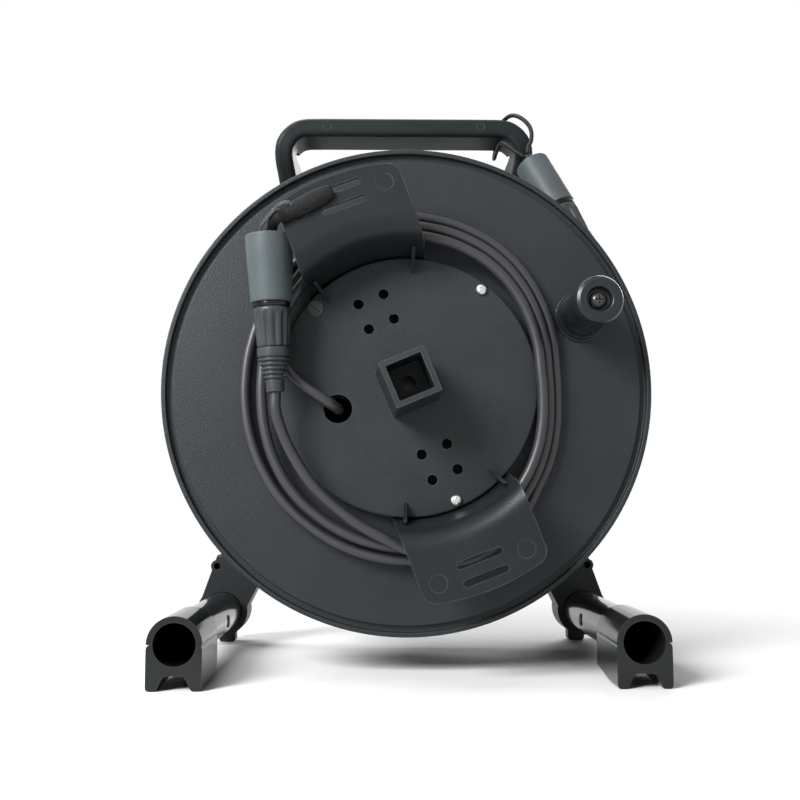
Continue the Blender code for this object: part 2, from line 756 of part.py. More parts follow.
def holder_outline():
    """The outline seen from the front, as (sideways, outward), with an arc for its far edge."""
    half = HOLDER_HALF_WIDTH
    inset = half - HOLDER_CORNER
    edge = math.sqrt(HOLDER_REACH ** 2 - half ** 2)
    arc = []
    steps = 8
    limit = math.asin(inset / HOLDER_REACH)
    for step in range(steps + 1):
        turn = limit * (1 - 2 * step / steps)
        arc.append((HOLDER_REACH * math.sin(turn), HOLDER_REACH * math.cos(turn)))
    corner = []
    for step in range(1, 5):
        share = step / 5
        start, middle, end = (Vector((half, edge - HOLDER_CORNER)), Vector((half, edge)), Vector(arc[0]))
        corner.append(tuple(start.lerp(middle, share).lerp(middle.lerp(end, share), share)))
    mirrored = [(-x, y) for x, y in reversed(corner)]
    inner = CORE_RADIUS / 2
    return [(half, inner), (half, edge - HOLDER_CORNER), *corner, *arc, *mirrored,
            (-half, edge - HOLDER_CORNER), (-half, inner)]


def stadium(length, width, centre, steps=4):
    """A slot with round ends."""
    reach = (length - width) / 2
    points = []
    for side in (1, -1):
        for step in range(steps + 1):
            turn = math.pi * (step / steps - 0.5)
            points.append((
                centre[0] + side * (reach + math.cos(turn) * width / 2),
                centre[1] + side * math.sin(turn) * width / 2,
            ))
    return points


def make_holder(name, angle, parts, tools):
    """A curved wall at the hub cover's edge that bends out into a plate over the coil."""
    half_wall = HOLDER_WALL / 2
    foot = HUB_RADIUS + GAP + half_wall
    lean = foot + HOLDER_LEAN
    bend_start = HOLDER_HEIGHT - HOLDER_BEND
    middle = [(foot, GAP), (foot + HOLDER_LEAN / 5, HUB_RAISE)]
    bend = 5
    for step in range(bend + 1):
        turn = math.pi / 2 * step / bend
        middle.append((lean + HOLDER_BEND * (1 - math.cos(turn)), bend_start + HOLDER_BEND * math.sin(turn)))
    middle.append((HOLDER_REACH + 0.006, HOLDER_HEIGHT))
    near, far = [], []
    for index, (radius, height) in enumerate(middle):
        before = Vector(middle[max(index - 1, 0)])
        after = Vector(middle[min(index + 1, len(middle) - 1)])
        way = (after - before).normalized()
        near.append((radius - way.y * half_wall, height + way.x * half_wall))
        far.append((radius + way.y * half_wall, height - way.x * half_wall))
    near[0] = (foot - half_wall, GAP)
    far[0] = (foot + half_wall, GAP)
    profile = [(radius, -height) for radius, height in near + far[::-1]]
    holder = turned(name, profile, parts, steps=HOLDER_STEPS)

    outline = plate(name + "_outline_cut", [
        holder_outline(), *[stadium(SLOT_LENGTH, SLOT_WIDTH, (0, ring)) for ring in SLOT_RINGS],
    ], 2 * HOLDER_HEIGHT, tools, (0, 0, 0))
    outline.matrix_world = (
        Matrix.Translation(at(0, -HOLDER_HEIGHT - HOLDER_WALL, 0)) @ Matrix.Rotation(math.pi / 2 - angle, 4, "Y")
        @ outline.matrix_world
    )
    boolean(holder, as_cutter(outline), "INTERSECT")
    for side in (-1, 1):
        outward, sideways = radial_frame(angle + side * GUSSET_ANGLE)
        rings = []
        for edge in (-1, 1):
            shift = sideways * edge * GUSSET_THICKNESS / 2
            rings.append([
                at(0, depth, 0) + outward * radius + shift for radius, depth in (
                    (foot, -HUB_RAISE - GAP), (foot - GUSSET_REACH, -HUB_RAISE - GAP),
                    (foot - GUSSET_REACH, -HUB_RAISE - GAP - 0.0015),
                    (foot + 0.0008, -HUB_RAISE - GUSSET_HEIGHT),
                )
            ])
        fin = loft(f"{name}_fin_{'left' if side > 0 else 'right'}", rings, tools)
        boolean(holder, as_cutter(fin), "UNION")
    finish_object(holder, "black_plastic")


def make_knob(parts):
    """The free-turning grip on its bolt, seated on a washer on the front flange."""
    place = polar(KNOB_OFFSET, KNOB_ANGLE, 0)
    forward = (0, -1, 0)
    start = KNOB_SEAT_HEIGHT + 2 * GAP
    end = start + KNOB_LENGTH
    floor = end - KNOB_COUNTERBORE_DEPTH
    bore = BOLT_RADIUS + GAP
    waist = KNOB_RADIUS - 0.0006
    rim = KNOB_RADIUS + 0.0005
    finish_object(turned("knob_washer", ring_profile(bore, KNOB_SEAT_RADIUS, GAP, GAP + KNOB_SEAT_HEIGHT),
                         parts, place, forward, steps=24), "black_plastic")
    knob = turned("winding_knob", [
        (bore, start), (rim - 0.0005, start), (rim, start + 0.0008), (rim, start + 0.0024),
        (waist, start + 0.0036), (waist, start + KNOB_LENGTH * 0.6), (KNOB_RADIUS, end - 0.008),
        (KNOB_RADIUS, end - 0.0035), (KNOB_RADIUS - 0.0008, end - 0.0013), (KNOB_RADIUS - 0.0026, end),
        (KNOB_COUNTERBORE + 0.0006, end), (KNOB_COUNTERBORE, end - 0.0006), (KNOB_COUNTERBORE, floor),
        (bore, floor),
    ], parts, place, forward, steps=SMALL_STEPS)
    finish_object(knob, "black_plastic")
    head = floor + GAP
    tip = FLANGE_THICKNESS + GAP + 0.004
    finish_object(turned("knob_bolt", [
        (0, -tip), (BOLT_RADIUS, -tip), (BOLT_RADIUS, head), (BOLT_HEAD, head), (BOLT_HEAD, head + 0.0012),
        (BOLT_HEAD * 0.8, head + 0.0028), (BOLT_HEAD * 0.4, head + 0.0037), (0, head + 0.0040),
    ], parts, place, forward, steps=16), "black_gloss")
    nut = plate("knob_nut", [circle(2 * BOLT_RADIUS, steps=6), circle(bore, steps=20)], 0.0035, parts,
                polar(KNOB_OFFSET, KNOB_ANGLE, FLANGE_THICKNESS + GAP))
    finish_object(nut, "steel", smooth=False)


def stand_outline():
    """Half of the stand seen from the front, from its middle out to the right foot and back."""
    ring = TUBE_RADIUS + CLAMP_WALL
    foot = Vector((FOOT_SPREAD, FOOT_HEIGHT - AXLE_HEIGHT))
    arc = []
    steps = 9
    for step in range(steps + 1):
        turn = math.radians(35 - 225 * step / steps)
        arc.append((foot.x + ring * math.cos(turn), foot.y + ring * math.sin(turn)))
    inner = UPRIGHT_INNER
    corners = [
        (0.0, CROSS_HALF_HEIGHT), (inner, CROSS_HALF_HEIGHT), (inner, UPRIGHT_TOP),
        (UPRIGHT_OUTER, UPRIGHT_TOP), LEG_KNEE_OUTER, LEG_TOE_OUTER,
    ]
    lower = [LEG_TOE_INNER, LEG_KNEE_INNER, (LEG_KNEE_INNER[0] * 0.75, -CROSS_HALF_HEIGHT),
             (0.0, -CROSS_HALF_HEIGHT)]
    return corners, arc, lower


def full_stand_outline():
    corners, arc, lower = stand_outline()
    upper = rounded([(0.0, 0.0), *corners, (FOOT_SPREAD, -AXLE_HEIGHT)], STAND_CORNER)
    under = rounded([(FOOT_SPREAD, -AXLE_HEIGHT), *lower, (0.0, 0.0)], STAND_CORNER)
    per_corner = 4
    upper = upper[2 * per_corner:-per_corner - 1]
    under = under[per_corner:-2 * per_corner]
    right = [point for point in upper if point[0] > FINE]
    right += arc
    right += [point for point in under if point[0] > FINE]
    left = [(-x, z) for x, z in reversed(right)]
    return right + left


def bays(first, second, count, wall, rib):
    """Pockets between two edges, given as pairs of ends: walls along the edges and ribs between the pockets."""
    (a0, a1), (b0, b1) = [(Vector(start), Vector(end)) for start, end in (first, second)]
    pockets = []
    run = ((a1 - a0).length + (b1 - b0).length) / 2
    for index in range(count):
        low = index / count + rib / 2 / run
        high = (index + 1) / count - rib / 2 / run
        corners = []
        for share, side in ((low, 0), (high, 0), (high, 1), (low, 1)):
            one, other = a0.lerp(a1, share), b0.lerp(b1, share)
            across = (other - one).normalized() * wall
            corners.append(tuple(one + across if side == 0 else other - across))
        pockets.append(rounded(corners, 0.003, steps=1))
    return pockets


def root_pocket():
    """The socket of the handle's root in the top of the right upright."""
    return rectangle(HANDLE_THICKNESS + 2 * GAP, HANDLE_DEPTH + 2 * GAP, (HANDLE_ROOT, HANDLE_ROOT_HEIGHT))


def make_stand(parts, tools):
    """The moulded stand: an H of ribbed channels, open towards the drum, with a clamp round each foot tube."""
    stand = plate("stand", [full_stand_outline()], STAND_DEPTH, parts, at(0, STAND_FRONT, 0))
    root_low = HANDLE_ROOT_HEIGHT - HANDLE_DEPTH / 2 - GAP
    pockets = [root_pocket()]
    inner, outer = UPRIGHT_INNER, UPRIGHT_OUTER
    knee = LEG_KNEE_OUTER[1]
    pockets += bays(((outer, knee), (outer, root_low - STAND_RIB)), ((inner, CROSS_HALF_HEIGHT),
                    (inner, root_low - STAND_RIB)), 3, STAND_WALL, STAND_RIB)
    toe = 0.93
    outer_toe = Vector(LEG_KNEE_OUTER).lerp(Vector(LEG_TOE_OUTER), toe)
    inner_toe = Vector(LEG_KNEE_INNER).lerp(Vector(LEG_TOE_INNER), toe - 0.05)
    pockets += bays((LEG_KNEE_OUTER, outer_toe), (LEG_KNEE_INNER, inner_toe), 3, STAND_WALL, STAND_RIB)
    half = CROSS_HALF_HEIGHT
    boss = HUB_BOSS_RADIUS + STAND_WALL
    pockets += bays(((boss, half), (inner - STAND_WALL, half)), ((boss, -half), (LEG_KNEE_INNER[0] * 0.75, -half)),
                    1, STAND_WALL, STAND_RIB)
    pockets += [[(-x, z) for x, z in pocket] for pocket in pockets]
    deep = STAND_DEPTH - STAND_WALL
    reach = 0.002
    cutters = [plate(f"pocket_{index}", [pocket], deep + reach, tools, at(0, STAND_FRONT - reach, 0))
               for index, pocket in enumerate(pockets)]
    boolean(stand, as_cutter(joined("stand_pockets", cutters, tools)), "DIFFERENCE")

    bosses = [turned(f"leg_boss_{side}", disc_profile(LEG_BOSS_RADIUS, STAND_FRONT + GAP, STAND_BACK - GAP),
                     tools, at(side * LEG_BOSS[0], 0, LEG_BOSS[1]), steps=SMALL_STEPS) for side in (-1, 1)]
    boolean(stand, as_cutter(joined("leg_bosses", bosses, tools)), "UNION")
    drilled(stand, [(side * LEG_BOSS[0], LEG_BOSS[1]) for side in (-1, 1)], LEG_BOSS_HOLE,
            STAND_FRONT - reach, STAND_BACK - 2 * STAND_WALL, tools)
    foot = FOOT_HEIGHT - AXLE_HEIGHT
    drilled(stand, [(side * FOOT_SPREAD, foot) for side in (-1, 1)], TUBE_RADIUS + GAP,
            STAND_FRONT - reach, STAND_BACK + reach, tools, steps=TUBE_STEPS)
    drilled(stand, [(0, 0)], AXLE_RADIUS + GAP, STAND_FRONT - reach, STAND_BACK + reach, tools, steps=16)
    drilled(stand, handle_screw_places(), SCREW_HOLE, STAND_BACK - 2 * STAND_WALL, STAND_BACK + reach, tools)
    finish_object(stand, "black_plastic")


def handle_screw_places():
    return [(side * HANDLE_ROOT, HANDLE_ROOT_HEIGHT + end * HANDLE_SCREW_SPREAD)
            for side in (-1, 1) for end in (-1, 1)]


def handle_stations():
    """Places along the right half of the handle, from its root to its middle, with the way of its depth."""
    root_end = STAND_BACK - STAND_WALL - GAP
    bar = HANDLE_TOP - HANDLE_THICKNESS / 2
    limb = HANDLE_HALF_WIDTH - HANDLE_THICKNESS / 2
    low = HANDLE_ROOT_HEIGHT
    places = [
        ((HANDLE_ROOT, root_end, low), 0), ((HANDLE_ROOT, STAND_FRONT - 0.006, low), 0),
        ((HANDLE_ROOT + 0.002, 0.108, low + 0.001), 14), ((limb - 0.002, 0.092, low + 0.007), 42),
        ((limb, 0.081, low + 0.018), 74), ((limb - 0.0015, HANDLE_MIDDLE, low + 0.0255), 90),
        ((limb - 0.007, HANDLE_MIDDLE, bar - 0.0035), 90), ((HANDLE_STRAIGHT + 0.013, HANDLE_MIDDLE, bar - 0.0005), 90),
        ((HANDLE_STRAIGHT, HANDLE_MIDDLE, bar), 90), ((0, HANDLE_MIDDLE, bar), 90),
    ]
    return [(at(*place), math.radians(turn)) for place, turn in places]


def make_handle(parts, tools):
    """A flat hoop: its bar lies over the drum, and its limbs sweep back and down into the stand's uprights."""
    stations = handle_stations()
    straight = [stations[0][0], stations[1][0]]
    bend = smooth_path([place for place, _ in stations[1:-1]], 12)
    places = straight[:1] + bend + [stations[-1][0]]
    keys = [place for place, _ in stations]
    turns = [turn for _, turn in stations]
    rings = []
    for index, place in enumerate(places):
        before = places[max(index - 1, 0)]
        after = places[min(index + 1, len(places) - 1)]
        along = (after - before).normalized()
        if index in (0, 1):
            along = Vector((0, -1, 0))
        if index >= len(places) - 2:
            along = Vector((-1, 0, 0))
        near = min(range(len(keys) - 1), key=lambda k: segment_gap(place, keys[k], keys[k + 1]))
        share = segment_share(place, keys[near], keys[near + 1])
        turn = turns[near] + (turns[near + 1] - turns[near]) * share
        depth = Vector((0, math.sin(turn), math.cos(turn)))
        depth = (depth - along * depth.dot(along)).normalized()
        thick = along.cross(depth).normalized()
        outline = rounded(rectangle(HANDLE_DEPTH, HANDLE_THICKNESS), 0.004, steps=2)
        rings.append([place + depth * u + thick * v for u, v in outline])
    other = [[Vector((-point.x, point.y, point.z)) for point in ring] for ring in rings[:-1]]
    handle = loft("carry_handle", rings + other[::-1], parts)
    depth = STAND_BACK - STAND_WALL
    drilled(handle, handle_screw_places(), SCREW_SHANK + GAP, depth - SCREW_BITE, depth + 0.002, tools, steps=8)
    finish_object(handle, "black_plastic")
    for index, (x, z) in enumerate(handle_screw_places()):
        screw(f"handle_screw_{index + 1}", parts, at(x, STAND_BACK + GAP, z), (0, -1, 0),
              STAND_WALL + SCREW_BITE - 0.001)


def segment_share(point, start, end):
    way = end - start
    return max(0.0, min(1.0, (point - start).dot(way) / way.length_squared))


def segment_gap(point, start, end):
    return (point - start.lerp(end, segment_share(point, start, end))).length


def foot_outline():
    """A round head over two prongs with an arch between them, about the tube's centre."""
    points = []
    steps = 9
    for step in range(steps + 1):
        turn = math.pi * step / steps
        points.append((FOOT_RADIUS * math.cos(turn), FOOT_RADIUS * math.sin(turn)))
    ground = -FOOT_HEIGHT
    foot = FOOT_RADIUS - PRONG_WIDTH
    arch = [(-FOOT_RADIUS, ground), (-foot, ground), (-ARCH_TOP / 2, ground + ARCH_HEIGHT),
            (ARCH_TOP / 2, ground + ARCH_HEIGHT), (foot, ground), (FOOT_RADIUS, ground)]
    soft = rounded([(-FOOT_RADIUS, 0), *arch, (FOOT_RADIUS, 0)], FOOT_SOFTNESS, steps=2)
    return points + [point for point in soft if point[1] < -FINE]


def make_front_foot(name, side, parts, tools):
    """A foot block over the tube's front end, its prongs rising away from the end that it closes."""
    x = side * FOOT_SPREAD
    z = FOOT_HEIGHT - AXLE_HEIGHT
    start = -FRONT_FOOT_REACH
    end = start + FOOT_LENGTH
    clear = 0.002
    block = plate(name, [foot_outline()], FOOT_LENGTH, parts, at(x, start, z))
    boolean(block, round_cutter(name + "_socket", TUBE_RADIUS + GAP, start + FOOT_LIP, end + clear, tools,
                                at(x, 0, z), TUBE_STEPS), "DIFFERENCE")
    boolean(block, round_cutter(name + "_bore", FOOT_BORE, start - clear, start + FOOT_LIP + clear, tools,
                                at(x, 0, z), TUBE_STEPS), "DIFFERENCE")
    flat_end = start + PRONG_FLAT
    rise = PRONG_RISE * (end + clear - flat_end) / (FOOT_LENGTH - PRONG_FLAT)
    rings = []
    for edge in (-1, 1):
        across = x + edge * (FOOT_RADIUS + clear)
        rings.append([at(across, flat_end, -AXLE_HEIGHT), at(across, end + clear, rise - AXLE_HEIGHT),
                      at(across, end + clear, -AXLE_HEIGHT - clear), at(across, flat_end, -AXLE_HEIGHT - clear)])
    boolean(block, as_cutter(loft(name + "_rise", rings, tools)), "DIFFERENCE")
    finish_object(block, "black_plastic")


def make_rear_foot(name, side, parts, tools):
    """A plug in the tube's rear end, its round head against the stand and a tab below it down to the ground."""
    place = at(side * FOOT_SPREAD, 0, FOOT_HEIGHT - AXLE_HEIGHT)
    front = STAND_BACK + GAP
    stem = TUBE_BORE - GAP
    chamfer = 0.001
    foot = turned(name, [
        (0, front - REAR_STEM_LENGTH), (stem, front - REAR_STEM_LENGTH), (stem, front), (REAR_HEAD_RADIUS, front),
        (REAR_HEAD_RADIUS, REAR_END - chamfer), (REAR_HEAD_RADIUS - chamfer, REAR_END), (0, REAR_END),
    ], parts, place, steps=TUBE_STEPS)
    half = REAR_TAB_WIDTH / 2
    top = -REAR_HEAD_RADIUS / 2
    outline = rounded([(-half, top), (-half, -FOOT_HEIGHT), (half, -FOOT_HEIGHT), (half, top)], FOOT_SOFTNESS, steps=2)
    tab = plate(name + "_tab", [outline], REAR_FOOT_LENGTH - 2 * chamfer, tools, place + Vector((0, front + chamfer / 2, 0)))
    boolean(foot, as_cutter(tab), "UNION")
    finish_object(foot, "black_plastic")


def make_feet(parts, tools):
    for label, side in (("left", -1), ("right", 1)):
        place = at(side * FOOT_SPREAD, 0, FOOT_HEIGHT - AXLE_HEIGHT)
        tube_front = -FRONT_FOOT_REACH + FOOT_LIP + GAP
        finish_object(turned(f"foot_tube_{label}", ring_profile(TUBE_BORE, TUBE_RADIUS, tube_front, STAND_BACK),
                             parts, place, steps=TUBE_STEPS), "black_gloss")
        make_front_foot(f"front_foot_{label}", side, parts, tools)
        make_rear_foot(f"rear_foot_{label}", side, parts, tools)


def winding_path():
    """The outer layer of cable on the drum, wound at a steady rate from flange to flange."""
    start = FLANGE_THICKNESS + 2 * GAP + CABLE_RADIUS
    end = DRUM_WIDTH - start
    count = WINDING_LOOPS * WINDING_POINTS
    return [polar(WINDING_RADIUS, EXIT_ANGLE - math.tau * step / WINDING_POINTS, start + (end - start) * step / count)
            for step in range(count + 1)]


def make_winding(parts):
    """Inner layers as a plain ring, with the outer layer wound over it."""
    dip = WINDING_RADIUS * math.cos(math.pi / WINDING_POINTS)
    outer = dip - CABLE_RADIUS - GAP
    front = FLANGE_THICKNESS + GAP
    back = DRUM_WIDTH - FLANGE_THICKNESS - GAP
    finish_object(turned("cable_inner_layers", ring_profile(CORE_RADIUS + GAP, outer, front, back), parts),
                  "cable_jacket")
    points = winding_path()
    finish_object(tube("cable_outer_layer", points, CABLE_RADIUS, parts, sides=6), "cable_jacket")
    print(f"Outer layer: {path_length(points):.2f} m, least gap {least_gap(points, CABLE_RADIUS) * 1000:.2f} mm")


def eased(keys, turned):
    """Radius and depth on a smooth curve through keys of (degrees turned, radius, depth)."""
    index = max(i for i, key in enumerate(keys[:-1]) if key[0] <= turned)
    near = [keys[max(0, min(len(keys) - 1, index + shift))] for shift in (-1, 0, 1, 2)]
    run = near[2][0] - near[1][0]
    t = (turned - near[1][0]) / run
    values = []
    for part in (1, 2):
        start, end = near[1][part], near[2][part]
        leave = (end - near[0][part]) / (near[2][0] - near[0][0]) * run
        arrive = (near[3][part] - start) / (near[3][0] - near[1][0]) * run
        values.append((2 * t ** 3 - 3 * t ** 2 + 1) * start + (t ** 3 - 2 * t ** 2 + t) * leave
                      + (3 * t ** 2 - 2 * t ** 3) * end + (t ** 3 - t ** 2) * arrive)
    return values


def coil_path():
    """The coil on the winding side: it turns clockwise, and its loops spread outward and sink to the flange."""
    whole = COIL_ROUTE[-1][0]
    count = round(whole / 360 * LOOP_POINTS)
    points = []
    for step in range(count + 1):
        turned_by = whole * step / count
        radius, depth = eased(COIL_ROUTE, turned_by)
        points.append(polar(radius, math.radians(COIL_START_ANGLE - turned_by), depth))
    return points


def lead_in_route():
    """From the winding through the core's wall, out of the hub cover and up to the coil."""
    outward, _ = radial_frame(EXIT_ANGLE)
    bore = (CORE_RADIUS + GAP) * math.cos(math.pi / TURN_STEPS) - GAP
    inside = [(bore, LEAD_DEPTH), (bore - 2 * CABLE_RADIUS, LEAD_DEPTH), (0.067, 0.0435),
              (0.0565, 0.037), (0.0490, 0.026), (0.0460, 0.013), (EXIT_RING_RADIUS, 0.0)]
    route = [at(0, depth, 0) + outward * radius for radius, depth in inside]
    route += [at(-0.0436, -0.0100, -0.0140), at(-0.0470, -0.0165, -0.0120), at(-0.0560, -0.0192, -0.0060),
              at(-0.0670, -0.0190, 0.0020), at(-0.0765, -0.0180, 0.0130), at(-0.0812, -0.0173, 0.0270)]
    start, follow = coil_path()[:2]
    way = (follow - start).normalized()
    return route + [start - way * (2 * CABLE_RADIUS + GAP), start - way * GAP]


def lead_out_route():
    """From the coil, over it under the lower holder, and up to the front connector's boot."""
    last, end = coil_path()[-2:]
    way = (end - last).normalized()
    route = [end + way * GAP, end + way * (2 * CABLE_RADIUS + GAP)]
    for radius, angle, depth in ((0.1115, -58, -0.0080), (0.1125, -70, -0.0132), (0.1100, -78, -0.0172),
                                 (0.1040, -86, -0.0203), (0.0965, -96, -0.0218), (0.0895, -112, -0.0230),
                                 (0.0848, -131, -0.0240), (0.0820, -150, -0.0268)):
        route.append(polar(radius, math.radians(angle), depth))
    boot, along = at(*FRONT_BOOT_END), Vector(FRONT_WAY).normalized()
    return route + [boot - along * (4 * CABLE_RADIUS), boot - along * GAP]


def tail_route():
    """From the outer connector's boot down between the flanges and onto the winding."""
    boot, along = at(*OUTER_BOOT_END), Vector(OUTER_WAY).normalized()
    over = WINDING_RADIUS + 2 * CABLE_RADIUS + 3 * GAP
    route = [boot - along * GAP, boot - along * (2 * CABLE_RADIUS + GAP)]
    route += [at(0.1335, 0.0170, 0.0640), at(0.1385, 0.0155, 0.0490), at(0.1415, 0.0160, 0.0310),
              at(0.1410, 0.0180, 0.0120), at(0.1375, 0.0200, -0.0070), at(0.1310, 0.0215, -0.0255),
              at(0.1208, 0.0220, -0.0420)]
    route += [polar(over, math.radians(angle), 0.0220) for angle in (-29, -38, -48, -58, -61.5)]
    return route


def make_cable(parts):
    """The free stretches of cable and the coil on the winding side."""
    coil = coil_path()
    print(f"Coil: {path_length(coil):.2f} m, least gap {least_gap(coil, CABLE_RADIUS) * 1000:.2f} mm")
    finish_object(tube("cable_coil", coil, CABLE_RADIUS, parts, sides=6), "cable_jacket")
    for name, route, count in (("cable_lead_in", lead_in_route(), 22), ("cable_lead_out", lead_out_route(), 18),
                               ("cable_tail", tail_route(), 20)):
        points = cord_path(route, count)
        print(f"{name}: {path_length(points):.3f} m")
        finish_object(tube(name, points, CABLE_RADIUS, parts, sides=6), "cable_jacket")


def fluted_ring(place, across, up, radius, depth):
    """Points round a fluted barrel."""
    points = []
    steps = FLUTES * 3
    for step in range(steps):
        turn = math.tau * step / steps
        reach = radius - depth * (0.5 - 0.5 * math.cos(FLUTES * turn))
        points.append(place + across * reach * math.cos(turn) + up * reach * math.sin(turn))
    return points


def boot_profile():
    """A bend relief: a collar, rings that step down between grooves, and an end collar."""
    groove = 0.0009
    collar = 0.0055
    points = [(0, BOOT_LENGTH), (BOOT_RADIUS, BOOT_LENGTH), (BOOT_RADIUS, BOOT_LENGTH - collar)]
    run = BOOT_LENGTH - 2 * collar
    pitch = run / BOOT_RINGS
    for index in range(BOOT_RINGS):
        top = BOOT_LENGTH - collar - index * pitch
        share = (index + 0.5) / BOOT_RINGS
        radius = BOOT_RADIUS + (BOOT_END_RADIUS - BOOT_RADIUS) * share
        points += [(radius - groove, top - pitch * 0.05), (radius - groove, top - pitch * 0.4),
                   (radius, top - pitch * 0.95)]
    points += [(BOOT_END_RADIUS, collar), (BOOT_END_RADIUS, 0.0008), (BOOT_END_RADIUS - 0.0008, 0), (0, 0)]
    return points


def make_connector(name, boot_end, way, cap_radii, parts):
    """A cable connector: ribbed boot, fluted bushing, metal ring and shell, and a rubber cap over its face.

    The cap's radii are given at its mouth and at its top. Returns the top's place and the connector's way.
    """
    mouth_radius, top_radius = cap_radii
    along = Vector(way).normalized()
    place = at(*boot_end)
    finish_object(turned(name + "_boot", boot_profile(), parts, place, along, steps=BOOT_STEPS), "rubber")

    start = BOOT_LENGTH + GAP
    across = along.cross(Vector((0, 1, 0))).normalized()
    up = along.cross(across)
    rounding = 0.0012
    rings = [
        fluted_ring(place + along * start, across, up, BUSHING_END_RADIUS, FLUTE_DEPTH * 0.6),
        fluted_ring(place + along * (start + BUSHING_LENGTH * 0.8), across, up, BUSHING_RADIUS, FLUTE_DEPTH),
        fluted_ring(place + along * (start + BUSHING_LENGTH - rounding), across, up, BUSHING_RADIUS, 0.0),
        fluted_ring(place + along * (start + BUSHING_LENGTH), across, up, BUSHING_RADIUS - rounding / 2, 0.0),
    ]
    finish_object(loft(name + "_bushing", rings, parts), "black_plastic")

    start += BUSHING_LENGTH + GAP
    shell_back = start + RING_LENGTH
    finish_object(turned(name + "_shell", [
        (0, start), (RING_RADIUS, start), (RING_RADIUS, shell_back), (SHELL_RADIUS, shell_back),
        (SHELL_RADIUS, shell_back + SHELL_LENGTH), (SHELL_RADIUS - SHELL_WALL, shell_back + SHELL_LENGTH),
        (SHELL_RADIUS - SHELL_WALL, shell_back + 2 * RING_LENGTH), (0, shell_back + 2 * RING_LENGTH),
    ], parts, place, along, steps=SMALL_STEPS), "nickel")

    mouth = shell_back + GAP
    top = mouth + CAP_LENGTH
    inner = SHELL_RADIUS + GAP
    finish_object(turned(name + "_cap", [
        (0, top - CAP_BASE), (inner, top - CAP_BASE), (inner, mouth), (mouth_radius - 0.0008, mouth),
        (mouth_radius, mouth + 0.0008), (top_radius, top - 0.006), (top_radius, top - 0.0025),
        (top_radius - 0.0008, top - 0.0008), (top_radius - 0.0025, top), (0, top),
    ], parts, place, along, steps=SMALL_STEPS), "rubber")
    return place + along * top, along


def make_strap(top, parts):
    """The front cap's rubber strap: it leaves the cap's top and lies over the upper holder's plate."""
    depth = -HOLDER_HEIGHT - HOLDER_WALL / 2 - 0.0028
    base = top + Vector((0.0020, -0.0030, GAP * 4))
    keys = [base, base + Vector((0.0004, -0.0010, 0.0022)), at(-0.0790, depth - 0.0004, 0.0955),
            at(-0.0725, depth, 0.0985), at(-0.0640, depth, 0.1030), at(-0.0550, depth, 0.1078),
            at(-0.0480, depth, 0.1115), at(-0.0455, depth, 0.1128)]
    widths = (0.0048, 0.0050, 0.0056, 0.0066, 0.0086, 0.0110, 0.0104, 0.0050)
    heights = (0.0040, 0.0040, 0.0042, 0.0046, 0.0048, 0.0048, 0.0044, 0.0024)
    rings = []
    for index, key in enumerate(keys):
        before = keys[max(index - 1, 0)]
        after = keys[min(index + 1, len(keys) - 1)]
        along = (after - before).normalized()
        if index == 0:
            along = Vector((0, 0, 1))
        wide = along.cross(Vector((0, 1, 0))).normalized()
        deep = wide.cross(along).normalized()
        rings.append([key + wide * x * widths[index] + deep * y * heights[index]
                      for x, y in circle(0.5, steps=12)])
    strap = loft("front_cap_strap", rings, parts)
    finish_object(strap, "rubber")


def make_tie(top, along, parts):
    """A thin cord that ties the outer connector's cap to the handle: a loop round the bar and a knot."""
    knot = top + along * (KNOT_RADIUS + GAP)
    shape = bmesh.new()
    bmesh.ops.create_uvsphere(shape, u_segments=10, v_segments=6, radius=KNOT_RADIUS)
    item = link_mesh("tie_knot", shape, parts)
    item.location = knot
    finish_object(item, "rubber")
    clear = TIE_RADIUS + 0.0008
    x = HANDLE_STRAIGHT + 0.0125
    front = HANDLE_MIDDLE - HANDLE_DEPTH / 2 - clear
    rear = HANDLE_MIDDLE + HANDLE_DEPTH / 2 + clear
    over = HANDLE_TOP + clear
    under = HANDLE_TOP - HANDLE_THICKNESS - clear
    upward = (Vector((0, 0, 1)) + along * 0.4).normalized()
    inward = Vector((-0.8, 0.1, 0.5)).normalized()
    start = knot + upward * (KNOT_RADIUS + GAP)
    finish = knot + inward * (KNOT_RADIUS + GAP)
    route = [start, start + upward * 2 * TIE_RADIUS, at(x + 0.0190, front - 0.0030, over - 0.0200),
             at(x + 0.0185, front - 0.0020, over - 0.0110), at(x + 0.0130, front, over - 0.0035),
             at(x + 0.0060, front + 0.0060, over + 0.0010), at(x, HANDLE_MIDDLE, over - 0.0003),
             at(x - 0.0006, rear - 0.0030, over - 0.0003), at(x - 0.0010, rear + 0.0006, (over + under) / 2),
             at(x - 0.0030, rear - 0.0030, under - 0.0030), at(x - 0.0030, HANDLE_MIDDLE, under - 0.0034),
             at(x - 0.0010, front + 0.0020, under - 0.0030), finish + inward * 2 * TIE_RADIUS, finish]
    points = cord_path(route, 22)
    print(f"Tie cord: {path_length(points):.3f} m")
    finish_object(tube("cap_tie", points, TIE_RADIUS, parts, sides=6), "rubber")


def hang_on_axes(parts):
    """Parents the pieces that turn to an empty on their axis: the knob on its bolt, the rest on the axle."""
    drum_axis = bpy.data.objects.new("drum_axis", None)
    knob_axis = bpy.data.objects.new("knob_axis", None)
    turning = [item for item in parts.objects if not item.name.startswith(STILL_PIECES)]
    for empty, place in ((drum_axis, at(0, 0, 0)), (knob_axis, polar(KNOB_OFFSET, KNOB_ANGLE, 0))):
        empty.location = place
        parts.objects.link(empty)
    bpy.context.view_layer.update()
    for item in [*turning, knob_axis]:
        item.parent = knob_axis if item.name == "winding_knob" else drum_axis
        item.matrix_parent_inverse = item.parent.matrix_world.inverted()


